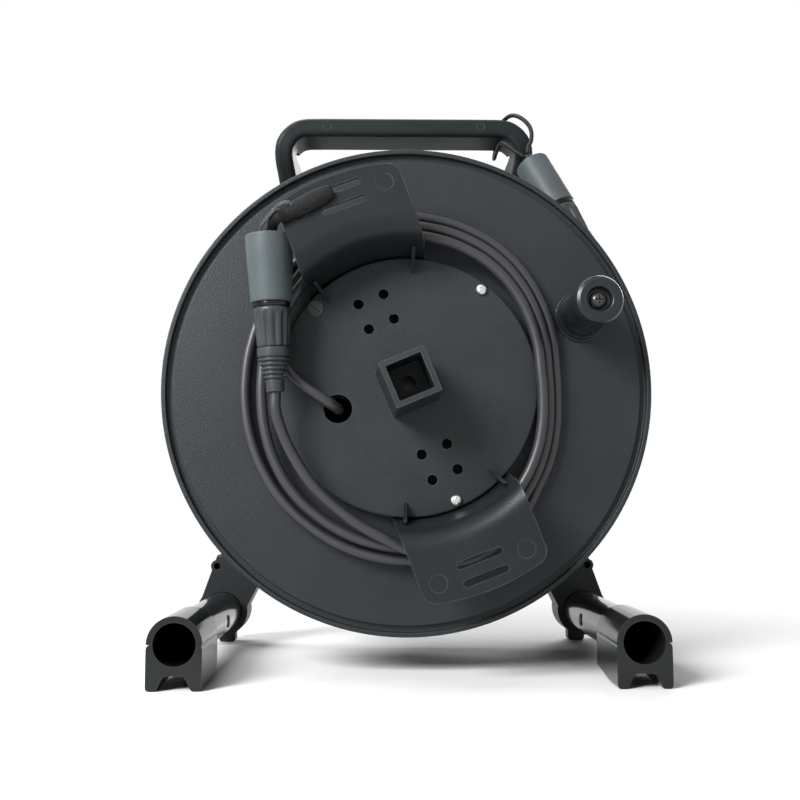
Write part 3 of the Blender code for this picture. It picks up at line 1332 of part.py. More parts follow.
def build():
    """The whole object."""
    clear_scene()
    parts = collection("network_cable_drum")
    tools = collection("cutters")
    make_flanges(parts, tools)
    make_core(parts, tools)
    make_bearings(parts)
    make_hub_cover(parts, tools)
    make_slotted_plug(parts, tools)
    make_drum_screws(parts)
    for label, angle in HOLDER_ANGLES.items():
        make_holder(f"cable_holder_{label}", angle, parts, tools)
    make_knob(parts)
    make_stand(parts, tools)
    make_feet(parts, tools)
    make_handle(parts, tools)
    make_winding(parts)
    make_cable(parts)
    front_top, _ = make_connector("front", FRONT_BOOT_END, FRONT_WAY, (CAP_END_RADIUS, CAP_TOP_RADIUS), parts)
    make_strap(front_top, parts)
    outer_top, outer_way = make_connector("outer", OUTER_BOOT_END, OUTER_WAY, (OUTER_CAP_RADIUS, OUTER_CAP_RADIUS), parts)
    make_tie(outer_top, outer_way, parts)
    hang_on_axes(parts)


build()
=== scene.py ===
"""Network cable on a hand-wound drum: its fine shapes, cords, finishes, light and camera.

Metres, +Z up. The axle runs along Y with the winding side towards -Y. A depth is measured back from
the front flange's face, and a height up from the axle.
"""
import logging
import math
from dataclasses import dataclass, field
from enum import Enum

import bpy
from mathutils import Matrix, Vector


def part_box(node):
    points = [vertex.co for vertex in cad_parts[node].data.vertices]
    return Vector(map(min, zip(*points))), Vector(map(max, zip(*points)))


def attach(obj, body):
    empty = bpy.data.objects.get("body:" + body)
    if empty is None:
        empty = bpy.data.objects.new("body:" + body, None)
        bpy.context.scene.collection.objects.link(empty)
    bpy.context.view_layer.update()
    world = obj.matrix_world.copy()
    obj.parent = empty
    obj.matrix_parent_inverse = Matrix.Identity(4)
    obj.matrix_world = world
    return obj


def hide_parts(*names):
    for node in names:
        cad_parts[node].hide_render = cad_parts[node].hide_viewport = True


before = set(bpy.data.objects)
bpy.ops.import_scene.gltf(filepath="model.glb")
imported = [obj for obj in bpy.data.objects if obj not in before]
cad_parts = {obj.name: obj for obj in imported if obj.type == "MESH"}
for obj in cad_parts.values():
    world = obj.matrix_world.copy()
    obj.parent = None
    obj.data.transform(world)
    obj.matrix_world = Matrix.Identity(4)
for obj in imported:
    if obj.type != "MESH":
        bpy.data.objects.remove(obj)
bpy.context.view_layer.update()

log = logging.getLogger("cable_drum")

FACE_Y = -0.0545
AXLE_HEIGHT = 0.178
GAP = 0.0003
MERGE = 0.000002
DRUM_WIDTH = 0.125
FLANGE_THICKNESS = 0.0025
HUB_RAISE = 0.010
HUB_WALL = 0.0025
CORE_RADIUS = 0.084
HUB_RADIUS = 0.0815
CABLE_RADIUS = 0.0034
WINDING_LAYERS = 5
WINDING_RADIUS = CORE_RADIUS + GAP + (2 * WINDING_LAYERS - 1) * CABLE_RADIUS
EXIT_DEGREES = 198
SCREW_RING = 0.0770
SCREW_DEGREES = (52.7, -67.3, 172.7)
KNOB_OFFSET = 0.120
KNOB_DEGREES = 22.5
HOLDER_HEIGHT = 0.046
HOLDER_WALL = 0.0024
STAND_FRONT = DRUM_WIDTH + 0.0052
STAND_DEPTH = 0.026
STAND_BACK = STAND_FRONT + STAND_DEPTH
STAND_WALL = 0.003
FOOT_SPREAD = 0.134
FOOT_HEIGHT = 0.026
TUBE_RADIUS = 0.014
TUBE_BORE = 0.0125
HANDLE_DEPTH = 0.034
HANDLE_THICKNESS = 0.013
HANDLE_MIDDLE = 0.077
HANDLE_BAR = 0.2 - HANDLE_THICKNESS / 2
HANDLE_ROOT = (0.0795, 0.158)
HANDLE_SCREW_STEP = 0.010
SCREW_BORE = 0.0021
OVER = 0.002
SMOOTH_DEGREES = 35.0
FLAT_WEIGHT = 80

Pair = tuple[float, float]
Outline = list[Pair]
Piece = bpy.types.Object
Place = tuple[float, float, float]
Span = tuple[float, float, float, float]
Tree = bpy.types.NodeTree
Colour = tuple[float, float, float]
Socket = bpy.types.NodeSocket


class Body(Enum):
    """What a piece moves with."""

    FRAME = "frame"
    DRUM = "drum"
    KNOB = "knob"


class Slot(Enum):
    """The record's material slots."""

    PLASTIC = "black_plastic"
    GLOSS = "black_gloss"
    RUBBER = "rubber"
    JACKET = "cable_jacket"
    STEEL = "steel"
    NICKEL = "nickel"
    NYLON = "white_bush"


# Places


def spot(x: float, depth: float, height: float) -> Vector:
    """A world point: across, back from the front flange's face, and up from the axle."""
    return Vector((x, FACE_Y + depth, AXLE_HEIGHT + height))


def polar(radius: float, degrees: float, depth: float) -> Vector:
    """A world point round the axle, its angle in degrees from +X towards +Z."""
    turn = math.radians(degrees)
    return spot(radius * math.cos(turn), depth, radius * math.sin(turn))


def ways_at(degrees: float) -> tuple[Vector, Vector]:
    """The outward and the sideways unit vector at an angle round the axle."""
    turn = math.radians(degrees)
    return Vector((math.cos(turn), 0, math.sin(turn))), Vector((-math.sin(turn), 0, math.cos(turn)))


def across_at(radius: float, degrees: float) -> Pair:
    """Across and up from the axle, at a distance and an angle round it."""
    turn = math.radians(degrees)
    return radius * math.cos(turn), radius * math.sin(turn)


def screw_places() -> Outline:
    """The middles of the hub cover's three screws, which the rear ones share."""
    return [across_at(SCREW_RING, degrees) for degrees in SCREW_DEGREES]


def handle_screw_places() -> Outline:
    """The middles of the four screws at the handle's roots."""
    return [(side * HANDLE_ROOT[0], HANDLE_ROOT[1] + end * HANDLE_SCREW_STEP)
            for side in (-1, 1) for end in (-1, 1)]


def about_axle(turn: float) -> Matrix:
    """A turn about the axle."""
    home = spot(0, 0, 0)
    return Matrix.Translation(home) @ Matrix.Rotation(turn, 4, "Y") @ Matrix.Translation(-home)


def from_axle(place: Vector) -> Matrix:
    """The move that brings what was made round the axle to a place."""
    return Matrix.Translation(place - spot(0, 0, 0))


# Outlines


def rounded(corners: Outline, radius: float, steps: int = 5, closed: bool = True) -> Outline:
    """An outline with rounded corners.

    Args:
        corners: The sharp corners in order.
        radius: Radius of each rounding, limited by the sides that it joins.
        steps: Segments in each rounding.
        closed: Whether the last corner joins the first.

    Returns:
        The points of the rounded outline.
    """
    points: Outline = []
    count = len(corners)
    for index, corner in enumerate(corners):
        if not closed and index in (0, count - 1):
            points.append(corner)
            continue
        here = Vector(corner)
        back = Vector(corners[index - 1]) - here
        ahead = Vector(corners[(index + 1) % count]) - here
        turn = back.angle(ahead)
        reach = min(radius / max(math.tan(turn / 2), 0.05), back.length * 0.45, ahead.length * 0.45)
        start, end = here + back.normalized() * reach, here + ahead.normalized() * reach
        for step in range(steps + 1):
            share = step / steps
            points.append(tuple(start.lerp(here, share).lerp(here.lerp(end, share), share)))
    return points


def ring_of(radius: float, steps: int, centre: Pair = (0.0, 0.0)) -> Outline:
    """The points of a circle, in order round it."""
    turns = [math.tau * step / steps for step in range(steps)]
    return [(centre[0] + radius * math.cos(turn), centre[1] + radius * math.sin(turn)) for turn in turns]


def block_of(width: float, height: float, centre: Pair = (0.0, 0.0)) -> Outline:
    """The four corners of a rectangle, in order."""
    return [(centre[0] + a * width / 2, centre[1] + b * height / 2)
            for a, b in ((-1, -1), (1, -1), (1, 1), (-1, 1))]


def mirrored(places: Outline) -> Outline:
    """The same places on the other side of the middle, in the same order round."""
    return [(-x, z) for x, z in reversed(places)]


def smooth_route(places: list[Vector], count: int) -> list[Vector]:
    """Evenly spaced points on a smooth curve through the given places.

    Args:
        places: Places that the curve passes through.
        count: How many points to return.

    Returns:
        The points, first and last place included.
    """
    padded = [places[0] * 2 - places[1], *places, places[-1] * 2 - places[-2]]
    dense: list[Vector] = []
    for last, start, end, following in zip(padded, padded[1:], padded[2:], padded[3:]):
        for step in range(24):
            t = step / 24
            dense.append(0.5 * (2 * start + (end - last) * t
                                + (2 * last - 5 * start + 4 * end - following) * t ** 2
                                + (3 * start - last - 3 * end + following) * t ** 3))
    dense.append(places[-1])
    runs = [0.0]
    for first, second in zip(dense, dense[1:]):
        runs.append(runs[-1] + (second - first).length)
    spaced: list[Vector] = []
    index = 0
    for step in range(count):
        wanted = runs[-1] * step / (count - 1)
        while index < len(runs) - 2 and runs[index + 1] < wanted:
            index += 1
        share = (wanted - runs[index]) / (runs[index + 1] - runs[index])
        spaced.append(dense[index].lerp(dense[index + 1], share))
    return spaced


def across_route(route: list[Vector], index: int) -> tuple[Vector, Vector]:
    """The wide and the deep way of a flat strip on a route that lies across the axle.

    Args:
        route: The route's points.
        index: The point.

    Returns:
        The two unit vectors.
    """
    along = (route[min(index + 1, len(route) - 1)] - route[max(index - 1, 0)]).normalized()
    wide = along.cross(Vector((0, 1, 0))).normalized()
    return wide, wide.cross(along).normalized()


# Bench work


def clear_selection() -> None:
    """Leaves edit mode and deselects everything."""
    if bpy.context.mode != "OBJECT":
        bpy.ops.object.mode_set(mode="OBJECT")
    bpy.ops.object.select_all(action="DESELECT")


def select_only(item: Piece) -> None:
    """Selects one piece and makes it the active one."""
    clear_selection()
    item.select_set(True)
    bpy.context.view_layer.objects.active = item


def close_up(item: Piece) -> None:
    """Welds a piece's seams, closes its open ends and turns its faces outwards."""
    select_only(item)
    bpy.ops.object.mode_set(mode="EDIT")
    bpy.ops.mesh.select_all(action="SELECT")
    bpy.ops.mesh.remove_doubles(threshold=MERGE)
    bpy.ops.mesh.fill_holes(sides=0)
    bpy.ops.mesh.select_all(action="SELECT")
    bpy.ops.mesh.normals_make_consistent(inside=False)
    bpy.ops.object.mode_set(mode="OBJECT")


def lathe(name: str, profile: Outline, steps: int = 96, place: Vector | None = None,
          along: Vector | None = None, sweep: float = math.tau) -> Piece:
    """Turns a profile, drawn out from a single point and spun round its axis.

    Args:
        name: The piece's name.
        profile: Points of (radius, height); one that stays off the axis is closed into a loop.
        steps: Segments round the sweep.
        place: Where the profile's zero height lies, the axle at the flange's face if None.
        along: The way that heights run, back along the axle if None.
        sweep: How far the profile is spun.

    Returns:
        The turned piece.
    """
    clear_selection()
    bpy.ops.mesh.primitive_plane_add(size=0.001)
    item = bpy.context.object
    item.name = item.data.name = name
    bpy.ops.object.mode_set(mode="EDIT")
    bpy.ops.mesh.merge(type="CENTER")
    bpy.ops.transform.translate(value=(profile[0][0], 0, profile[0][1]))
    for (radius, height), (far_radius, far_height) in zip(profile, profile[1:]):
        bpy.ops.mesh.extrude_region_move(
            TRANSFORM_OT_translate={"value": (far_radius - radius, 0, far_height - height)})
    bpy.ops.object.mode_set(mode="OBJECT")
    if all(radius > MERGE for radius, _ in profile):
        item.data.vertices[0].select = True
        bpy.ops.object.mode_set(mode="EDIT")
        bpy.ops.mesh.edge_face_add()
    else:
        bpy.ops.object.mode_set(mode="EDIT")
    bpy.ops.mesh.select_all(action="SELECT")
    bpy.ops.mesh.spin(steps=steps, angle=sweep, center=(0, 0, 0), axis=(0, 0, 1))
    bpy.ops.object.mode_set(mode="OBJECT")
    way = Vector((0, 1, 0)) if along is None else along.normalized()
    turn = Vector((0, 0, 1)).rotation_difference(way).to_matrix().to_4x4()
    home = spot(0, 0, 0) if place is None else place
    item.data.transform(Matrix.Translation(home) @ turn)
    close_up(item)
    return item


def slab(name: str, outline: Outline, depth: float, thickness: float) -> Piece:
    """A flat piece upright across the axle.

    Args:
        name: The piece's name.
        outline: Points of (across, up from the axle).
        depth: Where its front face lies.
        thickness: How far it runs back.

    Returns:
        The extruded piece.
    """
    clear_selection()
    bpy.ops.mesh.primitive_circle_add(vertices=len(outline), radius=0.01, fill_type="NGON")
    item = bpy.context.object
    item.name = item.data.name = name
    for vertex, (x, z) in zip(item.data.vertices, outline):
        vertex.co = spot(x, depth, z)
    bpy.ops.object.mode_set(mode="EDIT")
    bpy.ops.mesh.select_all(action="SELECT")
    bpy.ops.mesh.extrude_region_move(TRANSFORM_OT_translate={"value": (0, thickness, 0)})
    bpy.ops.mesh.select_all(action="SELECT")
    bpy.ops.mesh.normals_make_consistent(inside=False)
    bpy.ops.object.mode_set(mode="OBJECT")
    return item


def skin(name: str, rings: list[list[Vector]]) -> Piece:
    """A closed skin over rings of points: a grid wrapped round them, its ends filled.

    Args:
        name: The piece's name.
        rings: Rings of as many points each.

    Returns:
        The skinned piece.
    """
    clear_selection()
    around = len(rings[0])
    bpy.ops.mesh.primitive_grid_add(x_subdivisions=around, y_subdivisions=len(rings) - 1, size=1)
    item = bpy.context.object
    item.name = item.data.name = name
    places = [ring[column % around] for ring in rings for column in range(around + 1)]
    for vertex, place in zip(item.data.vertices, places):
        vertex.co = place
    close_up(item)
    return item


def joined(pieces: list[Piece]) -> Piece:
    """Joins loose bodies into one piece.

    Args:
        pieces: The bodies; the first keeps its name.

    Returns:
        The joined piece.
    """
    select_only(pieces[0])
    for other in pieces[1:]:
        other.select_set(True)
    if len(pieces) > 1:
        bpy.ops.object.join()
    return pieces[0]


def cut(item: Piece, tool: Piece, operation: str = "DIFFERENCE") -> Piece:
    """Cuts or joins a piece with a tool, and clears the tool away.

    Args:
        item: The piece.
        tool: The closed tool.
        operation: DIFFERENCE, UNION or INTERSECT.

    Returns:
        The piece.
    """
    select_only(item)
    step = item.modifiers.new("Cut", "BOOLEAN")
    step.object, step.operation, step.solver = tool, operation, "EXACT"
    bpy.ops.object.modifier_apply(modifier=step.name)
    bpy.data.objects.remove(tool, do_unlink=True)
    return item


def drill(item: Piece, places: Outline, radius: float, start: float, end: float, steps: int = 40) -> Piece:
    """Drills round holes of one radius along the axle's way, from one depth to another."""
    bits = [slab("bit", ring_of(radius, steps, place), start, end - start) for place in places]
    return cut(item, joined(bits))


def cross_recess(item: Piece, arms: Pair, depth: float, reach: float, move: Matrix) -> Piece:
    """Cuts a cross recess into a screw's head.

    Args:
        item: The screw.
        arms: Length and width of the cross's arms.
        depth: Depth where the tool starts.
        reach: How far it runs back.
        move: How the tool is moved from the axle.

    Returns:
        The screw.
    """
    for width, tall in (arms, arms[::-1]):
        bit = slab("cross", rounded(block_of(width, tall), 0.0003, 3), depth, reach)
        bit.data.transform(move)
        cut(item, bit)
    return item


def soften(item: Piece, width: float, segments: int = 2, degrees: float = SMOOTH_DEGREES) -> Piece:
    """Rounds a piece's sharp edges.

    Args:
        item: The piece.
        width: Width of the rounding.
        segments: Segments across it.
        degrees: The least angle of an edge that is rounded.

    Returns:
        The piece.
    """
    select_only(item)
    step = item.modifiers.new("Soften", "BEVEL")
    step.width, step.segments = width, segments
    step.limit_method, step.angle_limit = "ANGLE", math.radians(degrees)
    bpy.ops.object.modifier_apply(modifier=step.name)
    return item


def twin(item: Piece, name: str, move: Matrix) -> Piece:
    """A copy with its own mesh, moved.

    Args:
        item: The piece to copy.
        name: The copy's name.
        move: How its mesh is moved.

    Returns:
        The copy.
    """
    copy = bpy.data.objects.new(name, item.data.copy())
    copy.data.name = name
    copy.data.transform(move)
    bpy.context.scene.collection.objects.link(copy)
    if move.determinant() < 0:
        copy.data.flip_normals()
    return copy


def across_middle(item: Piece, name: str) -> Piece:
    """The same piece on the other side of the middle."""
    return twin(item, name, Matrix.Scale(-1, 4, Vector((1, 0, 0))))


def line_of(name: str, points: list[Vector], radius: float, sides: int) -> Piece:
    """A round line through points: one open spline with a bevel, its ends capped.

    Args:
        name: The piece's name.
        points: The points that it passes through.
        radius: Its radius.
        sides: Segments round it.

    Returns:
        The curve object.
    """
    curve = bpy.data.curves.new(name, "CURVE")
    curve.dimensions = "3D"
    curve.bevel_depth = radius
    curve.bevel_resolution = (sides - 4) // 2
    curve.use_fill_caps = True
    curve.resolution_u = 5
    spline = curve.splines.new("BEZIER")
    spline.bezier_points.add(len(points) - 1)
    for knot, place in zip(spline.bezier_points, points):
        knot.co = place
        knot.handle_left_type = knot.handle_right_type = "AUTO"
    item = bpy.data.objects.new(name, curve)
    bpy.context.scene.collection.objects.link(item)
    return item


# Finishes


def combined(tree: Tree, operation: str, first: Socket, second: Socket) -> Socket:
    """Two masks put together.

    Args:
        tree: The tree that they are in.
        operation: MULTIPLY or MAXIMUM.
        first: One mask.
        second: The other mask.

    Returns:
        The socket of the new mask.
    """
    both = tree.nodes.new("ShaderNodeMath")
    both.operation = operation
    tree.links.new(first, both.inputs[0])
    tree.links.new(second, both.inputs[1])
    return both.outputs["Value"]


@dataclass(frozen=True)
class Grain:
    """The shared surface groups: moulding grain, worn edges and settled dust.

    A range is (least in, greatest in, out at the least, out at the greatest).
    """

    fine_detail: float = 2.0
    slow_detail: float = 5.0
    slow_share: float = 0.6
    mottle_range: Span = (0.3, 0.7, 0.0, 1.0)
    edge_reach: float = 0.0010
    edge_samples: int = 4
    edge_range: Span = (0.985, 0.80, 0.0, 1.0)
    patch_detail: float = 4.0
    patch_range: Span = (0.35, 0.65, 0.25, 1.0)
    speck_detail: float = 6.0
    speck_share: float = 0.7
    speck_range: Span = (0.48, 0.72, 0.0, 1.0)
    upward_range: Span = (-0.2, 1.0, 0.15, 1.0)

    @staticmethod
    def sheet(name: str, inputs: dict[str, float], outputs: tuple[str, ...]) -> Tree:
        """An empty group with its sockets.

        Args:
            name: The group's name.
            inputs: Its inputs with their starting values.
            outputs: Names of its outputs.

        Returns:
            The group.
        """
        group = bpy.data.node_groups.new(name, "ShaderNodeTree")
        for label, value in inputs.items():
            socket = group.interface.new_socket(name=label, in_out="INPUT", socket_type="NodeSocketFloat")
            socket.default_value = value
        for label in outputs:
            group.interface.new_socket(name=label, in_out="OUTPUT", socket_type="NodeSocketFloat")
        group.nodes.new("NodeGroupInput").name = "In"
        group.nodes.new("NodeGroupOutput").name = "Out"
        return group

    @staticmethod
    def noise(group: Tree, detail: float, share: float = 0.5) -> bpy.types.ShaderNode:
        """A noise on object coordinates.

        Args:
            group: The tree that it goes in.
            detail: Its detail.
            share: Its roughness.

        Returns:
            The noise node.
        """
        place = group.nodes.new("ShaderNodeTexCoord")
        made = group.nodes.new("ShaderNodeTexNoise")
        made.inputs["Detail"].default_value = detail
        made.inputs["Roughness"].default_value = share
        group.links.new(place.outputs["Object"], made.inputs["Vector"])
        return made

    @staticmethod
    def span(group: Tree, low: float, high: float, start: float,
             end: float) -> bpy.types.ShaderNode:
        """A range from low..high to start..end, held at its ends.

        Args:
            group: The tree that it goes in.
            low: Least value in.
            high: Greatest value in.
            start: Value out at low.
            end: Value out at high.

        Returns:
            The range node.
        """
        made = group.nodes.new("ShaderNodeMapRange")
        for label, value in (("From Min", low), ("From Max", high), ("To Min", start), ("To Max", end)):
            made.inputs[label].default_value = value
        return made

    def moulding(self) -> Tree:
        """Fine grain with slow mottling.

        Returns:
            The group, with Height and Mottle out.
        """
        group = self.sheet("moulding_grain", {"Fine Scale": 900.0, "Slow Scale": 14.0},
                           ("Height", "Mottle"))
        links, nodes = group.links, group.nodes
        fine, slow = self.noise(group, self.fine_detail), self.noise(group, self.slow_detail, self.slow_share)
        even = self.span(group, *self.mottle_range)
        links.new(nodes["In"].outputs["Fine Scale"], fine.inputs["Scale"])
        links.new(nodes["In"].outputs["Slow Scale"], slow.inputs["Scale"])
        links.new(fine.outputs["Fac"], nodes["Out"].inputs["Height"])
        links.new(slow.outputs["Fac"], even.inputs["Value"])
        links.new(even.outputs["Result"], nodes["Out"].inputs["Mottle"])
        return group

    def edges(self) -> Tree:
        """Edges rubbed lighter.

        Returns:
            The group, with Worn out.
        """
        group = self.sheet("worn_edges", {"Patch Scale": 60.0}, ("Worn",))
        links, nodes = group.links, group.nodes
        shape = nodes.new("ShaderNodeNewGeometry")
        rounding = nodes.new("ShaderNodeBevel")
        rounding.samples = self.edge_samples
        rounding.inputs["Radius"].default_value = self.edge_reach
        turned = nodes.new("ShaderNodeVectorMath")
        turned.operation = "DOT_PRODUCT"
        sharp = self.span(group, *self.edge_range)
        patch = self.noise(group, self.patch_detail)
        broken = self.span(group, *self.patch_range)
        links.new(shape.outputs["Normal"], turned.inputs[0])
        links.new(rounding.outputs["Normal"], turned.inputs[1])
        links.new(turned.outputs["Value"], sharp.inputs["Value"])
        links.new(nodes["In"].outputs["Patch Scale"], patch.inputs["Scale"])
        links.new(patch.outputs["Fac"], broken.inputs["Value"])
        worn = combined(group, "MULTIPLY", sharp.outputs["Result"], broken.outputs["Result"])
        links.new(worn, nodes["Out"].inputs["Worn"])
        return group

    def dust(self) -> Tree:
        """Dust that settles on faces that look up.

        Returns:
            The group, with Dust out.
        """
        group = self.sheet("settled_dust", {"Speck Scale": 350.0}, ("Dust",))
        links, nodes = group.links, group.nodes
        shape = nodes.new("ShaderNodeNewGeometry")
        split = nodes.new("ShaderNodeSeparateXYZ")
        upward = self.span(group, *self.upward_range)
        speck = self.noise(group, self.speck_detail, self.speck_share)
        sparse = self.span(group, *self.speck_range)
        links.new(shape.outputs["Normal"], split.inputs["Vector"])
        links.new(split.outputs["Z"], upward.inputs["Value"])
        links.new(nodes["In"].outputs["Speck Scale"], speck.inputs["Scale"])
        links.new(speck.outputs["Fac"], sparse.inputs["Value"])
        settled = combined(group, "MULTIPLY", upward.outputs["Result"], sparse.outputs["Result"])
        links.new(settled, nodes["Out"].inputs["Dust"])
        return group


@dataclass(frozen=True)
class Finish:
    """One procedural finish: two mottled tones, worn edges, dust, and a grain in its normal.

    Its roughness is (least, greatest), and its grain is (fine scale, slow scale, strength of the bump).
    """

    name: str
    slot: Slot
    tone: Colour
    second_tone: Colour
    worn_tone: Colour
    roughness: Pair
    grain: tuple[float, float, float] = (900.0, 14.0, 0.08)
    wear: float = 0.6
    dust: float = 0.25
    gloss: float = 0.4
    metallic: float = 0.0
    coat: float = 0.0
    coat_roughness: float = 0.25
    bump_height: float = 0.0004
    dust_tone: Colour = (0.12, 0.13, 0.135)

    def mixed(self, tree: Tree, first: Colour | Socket, second: Colour, mask: Socket,
              strength: float) -> Socket:
        """Lays a second colour over a first by a mask.

        Args:
            tree: The material's tree.
            first: A colour, or the socket that it comes from.
            second: The colour laid over it.
            mask: The socket of the mask.
            strength: How much of the mask is used.

        Returns:
            The socket of the mixed colour.
        """
        mix = tree.nodes.new("ShaderNodeMix")
        mix.data_type = "RGBA"
        share = tree.nodes.new("ShaderNodeMath")
        share.operation = "MULTIPLY"
        share.inputs[1].default_value = strength
        tree.links.new(mask, share.inputs[0])
        tree.links.new(share.outputs["Value"], mix.inputs[0])
        if isinstance(first, tuple):
            mix.inputs[6].default_value = (*first, 1.0)
        else:
            tree.links.new(first, mix.inputs[6])
        mix.inputs[7].default_value = (*second, 1.0)
        return mix.outputs[2]

    def material(self) -> bpy.types.Material:
        """The finish as a material, made once.

        Returns:
            The material.
        """
        found = bpy.data.materials.get(self.name)
        if found:
            return found
        made = bpy.data.materials.new(self.name)
        made.use_nodes = True
        tree = made.node_tree
        shader = tree.nodes["Principled BSDF"]
        groups = {}
        for label in ("moulding_grain", "worn_edges", "settled_dust"):
            groups[label] = tree.nodes.new("ShaderNodeGroup")
            groups[label].node_tree = bpy.data.node_groups[label]
        grain = groups["moulding_grain"]
        fine, slow, depth = self.grain
        grain.inputs["Fine Scale"].default_value = fine
        grain.inputs["Slow Scale"].default_value = slow
        colour = self.mixed(tree, self.tone, self.second_tone, grain.outputs["Mottle"], 1.0)
        colour = self.mixed(tree, colour, self.worn_tone, groups["worn_edges"].outputs["Worn"], self.wear)
        colour = self.mixed(tree, colour, self.dust_tone, groups["settled_dust"].outputs["Dust"], self.dust)
        tree.links.new(colour, shader.inputs["Base Color"])
        sheen = Grain.span(tree, 0.0, 1.0, *self.roughness)
        tree.links.new(grain.outputs["Mottle"], sheen.inputs["Value"])
        tree.links.new(sheen.outputs["Result"], shader.inputs["Roughness"])
        bump = tree.nodes.new("ShaderNodeBump")
        bump.inputs["Strength"].default_value = depth
        bump.inputs["Distance"].default_value = self.bump_height
        tree.links.new(grain.outputs["Height"], bump.inputs["Height"])
        tree.links.new(bump.outputs["Normal"], shader.inputs["Normal"])
        for label, value in (("Specular IOR Level", self.gloss), ("Metallic", self.metallic),
                             ("Coat Weight", self.coat), ("Coat Roughness", self.coat_roughness)):
            shader.inputs[label].default_value = value
        return made


DRUM_PLASTIC = Finish("drum_plastic", Slot.PLASTIC, (0.013, 0.0165, 0.0182), (0.017, 0.0212, 0.0232),
                      (0.09, 0.10, 0.105), (0.36, 0.44), (1300.0, 11.0, 0.60), 0.6, 0.06, 0.24)
HUB_PLASTIC = Finish("hub_plastic", Slot.PLASTIC, (0.013, 0.0165, 0.0182), (0.017, 0.0214, 0.0234),
                     (0.09, 0.10, 0.105), (0.38, 0.48), (1300.0, 22.0, 0.70), 0.8, 0.06, 0.24)
HOLDER_PLASTIC = Finish("holder_plastic", Slot.PLASTIC, (0.0080, 0.0100, 0.0110), (0.012, 0.0150, 0.0165),
                        (0.12, 0.13, 0.14), (0.28, 0.36), (1300.0, 13.0, 0.35), 0.7, 0.04, 0.22)
STAND_PLASTIC = Finish("stand_plastic", Slot.PLASTIC, (0.009, 0.0105, 0.0115), (0.014, 0.0160, 0.0170),
                       (0.08, 0.09, 0.09), (0.36, 0.48), (700.0, 13.0, 0.20), 0.5, 0.05, 0.20)
HANDLE_PLASTIC = Finish("handle_plastic", Slot.PLASTIC, (0.011, 0.0138, 0.0148), (0.017, 0.0210, 0.0222),
                        (0.09, 0.10, 0.10), (0.36, 0.46), (600.0, 10.0, 0.15), 0.5, 0.04, 0.10)
PLUG_PLASTIC = Finish("plug_plastic", Slot.PLASTIC, (0.036, 0.041, 0.042), (0.052, 0.057, 0.058),
                      (0.20, 0.21, 0.20), (0.40, 0.52), (700.0, 30.0, 0.2), 0.7, 0.10, 0.25)
KNOB_PLASTIC = Finish("knob_plastic", Slot.PLASTIC, (0.008, 0.010, 0.011), (0.013, 0.015, 0.017),
                      (0.08, 0.09, 0.095), (0.24, 0.34), (800.0, 18.0, 0.10), 0.6, 0.04, 0.30)
FOOT_PLASTIC = Finish("foot_plastic", Slot.PLASTIC, (0.009, 0.0115, 0.0105), (0.015, 0.0175, 0.0165),
                      (0.08, 0.085, 0.08), (0.08, 0.15), (650.0, 22.0, 0.04), 0.5, 0.04, 0.22)
TUBE_GLOSS = Finish("tube_gloss", Slot.GLOSS, (0.005, 0.005, 0.006), (0.009, 0.009, 0.010),
                    (0.03, 0.03, 0.03), (0.07, 0.12), (300.0, 8.0, 0.02), 0.3, 0.02, 0.25, coat=0.2)
CAP_RUBBER = Finish("cap_rubber", Slot.RUBBER, (0.048, 0.060, 0.064), (0.068, 0.083, 0.088),
                    (0.14, 0.155, 0.16), (0.42, 0.54), (520.0, 26.0, 0.25), 0.35, 0.10, 0.25)
BOOT_RUBBER = Finish("boot_rubber", Slot.RUBBER, (0.018, 0.022, 0.023), (0.030, 0.035, 0.036),
                     (0.12, 0.13, 0.13), (0.28, 0.40), (600.0, 30.0, 0.2), 0.6, 0.10, 0.35)
STRAP_RUBBER = Finish("strap_rubber", Slot.RUBBER, (0.004, 0.004, 0.005), (0.008, 0.008, 0.009),
                      (0.05, 0.05, 0.055), (0.50, 0.66), (420.0, 60.0, 0.6), 0.8, 0.10, 0.15)
LOOP_RUBBER = Finish("loop_rubber", Slot.RUBBER, (0.040, 0.047, 0.050), (0.060, 0.068, 0.071),
                     (0.15, 0.16, 0.17), (0.40, 0.52), (520.0, 40.0, 0.2), 0.4, 0.07, 0.25)
CABLE_JACKET = Finish("cable_jacket", Slot.JACKET, (0.0105, 0.0148, 0.0168), (0.015, 0.0205, 0.0230),
                      (0.06, 0.07, 0.08), (0.30, 0.42), (900.0, 40.0, 0.08), 0.25, 0.04, 0.13)
TIE_CORD = Finish("tie_cord", Slot.RUBBER, (0.006, 0.006, 0.007), (0.012, 0.012, 0.013),
                  (0.05, 0.05, 0.05), (0.45, 0.62), (1400.0, 120.0, 0.4), 0.3, 0.06, 0.25)
ZINC_STEEL = Finish("zinc_steel", Slot.STEEL, (0.72, 0.72, 0.71), (0.58, 0.58, 0.57),
                    (0.85, 0.85, 0.84), (0.24, 0.38), (1100.0, 70.0, 0.15), 0.4, 0.04, metallic=1.0)
DARK_STEEL = Finish("dark_steel", Slot.STEEL, (0.050, 0.050, 0.052), (0.080, 0.080, 0.083),
                    (0.25, 0.25, 0.26), (0.35, 0.50), (700.0, 60.0, 0.1), 0.4, 0.04, metallic=1.0)
DARK_BOLT = Finish("dark_bolt", Slot.GLOSS, (0.014, 0.014, 0.016), (0.026, 0.026, 0.029),
                   (0.18, 0.18, 0.19), (0.16, 0.28), (700.0, 60.0, 0.1), 0.6, 0.04)
BLACK_SHELL = Finish("black_shell", Slot.NICKEL, (0.020, 0.020, 0.021), (0.034, 0.034, 0.036),
                     (0.20, 0.20, 0.21), (0.18, 0.30), (900.0, 50.0, 0.1), 0.6, 0.04, metallic=1.0)
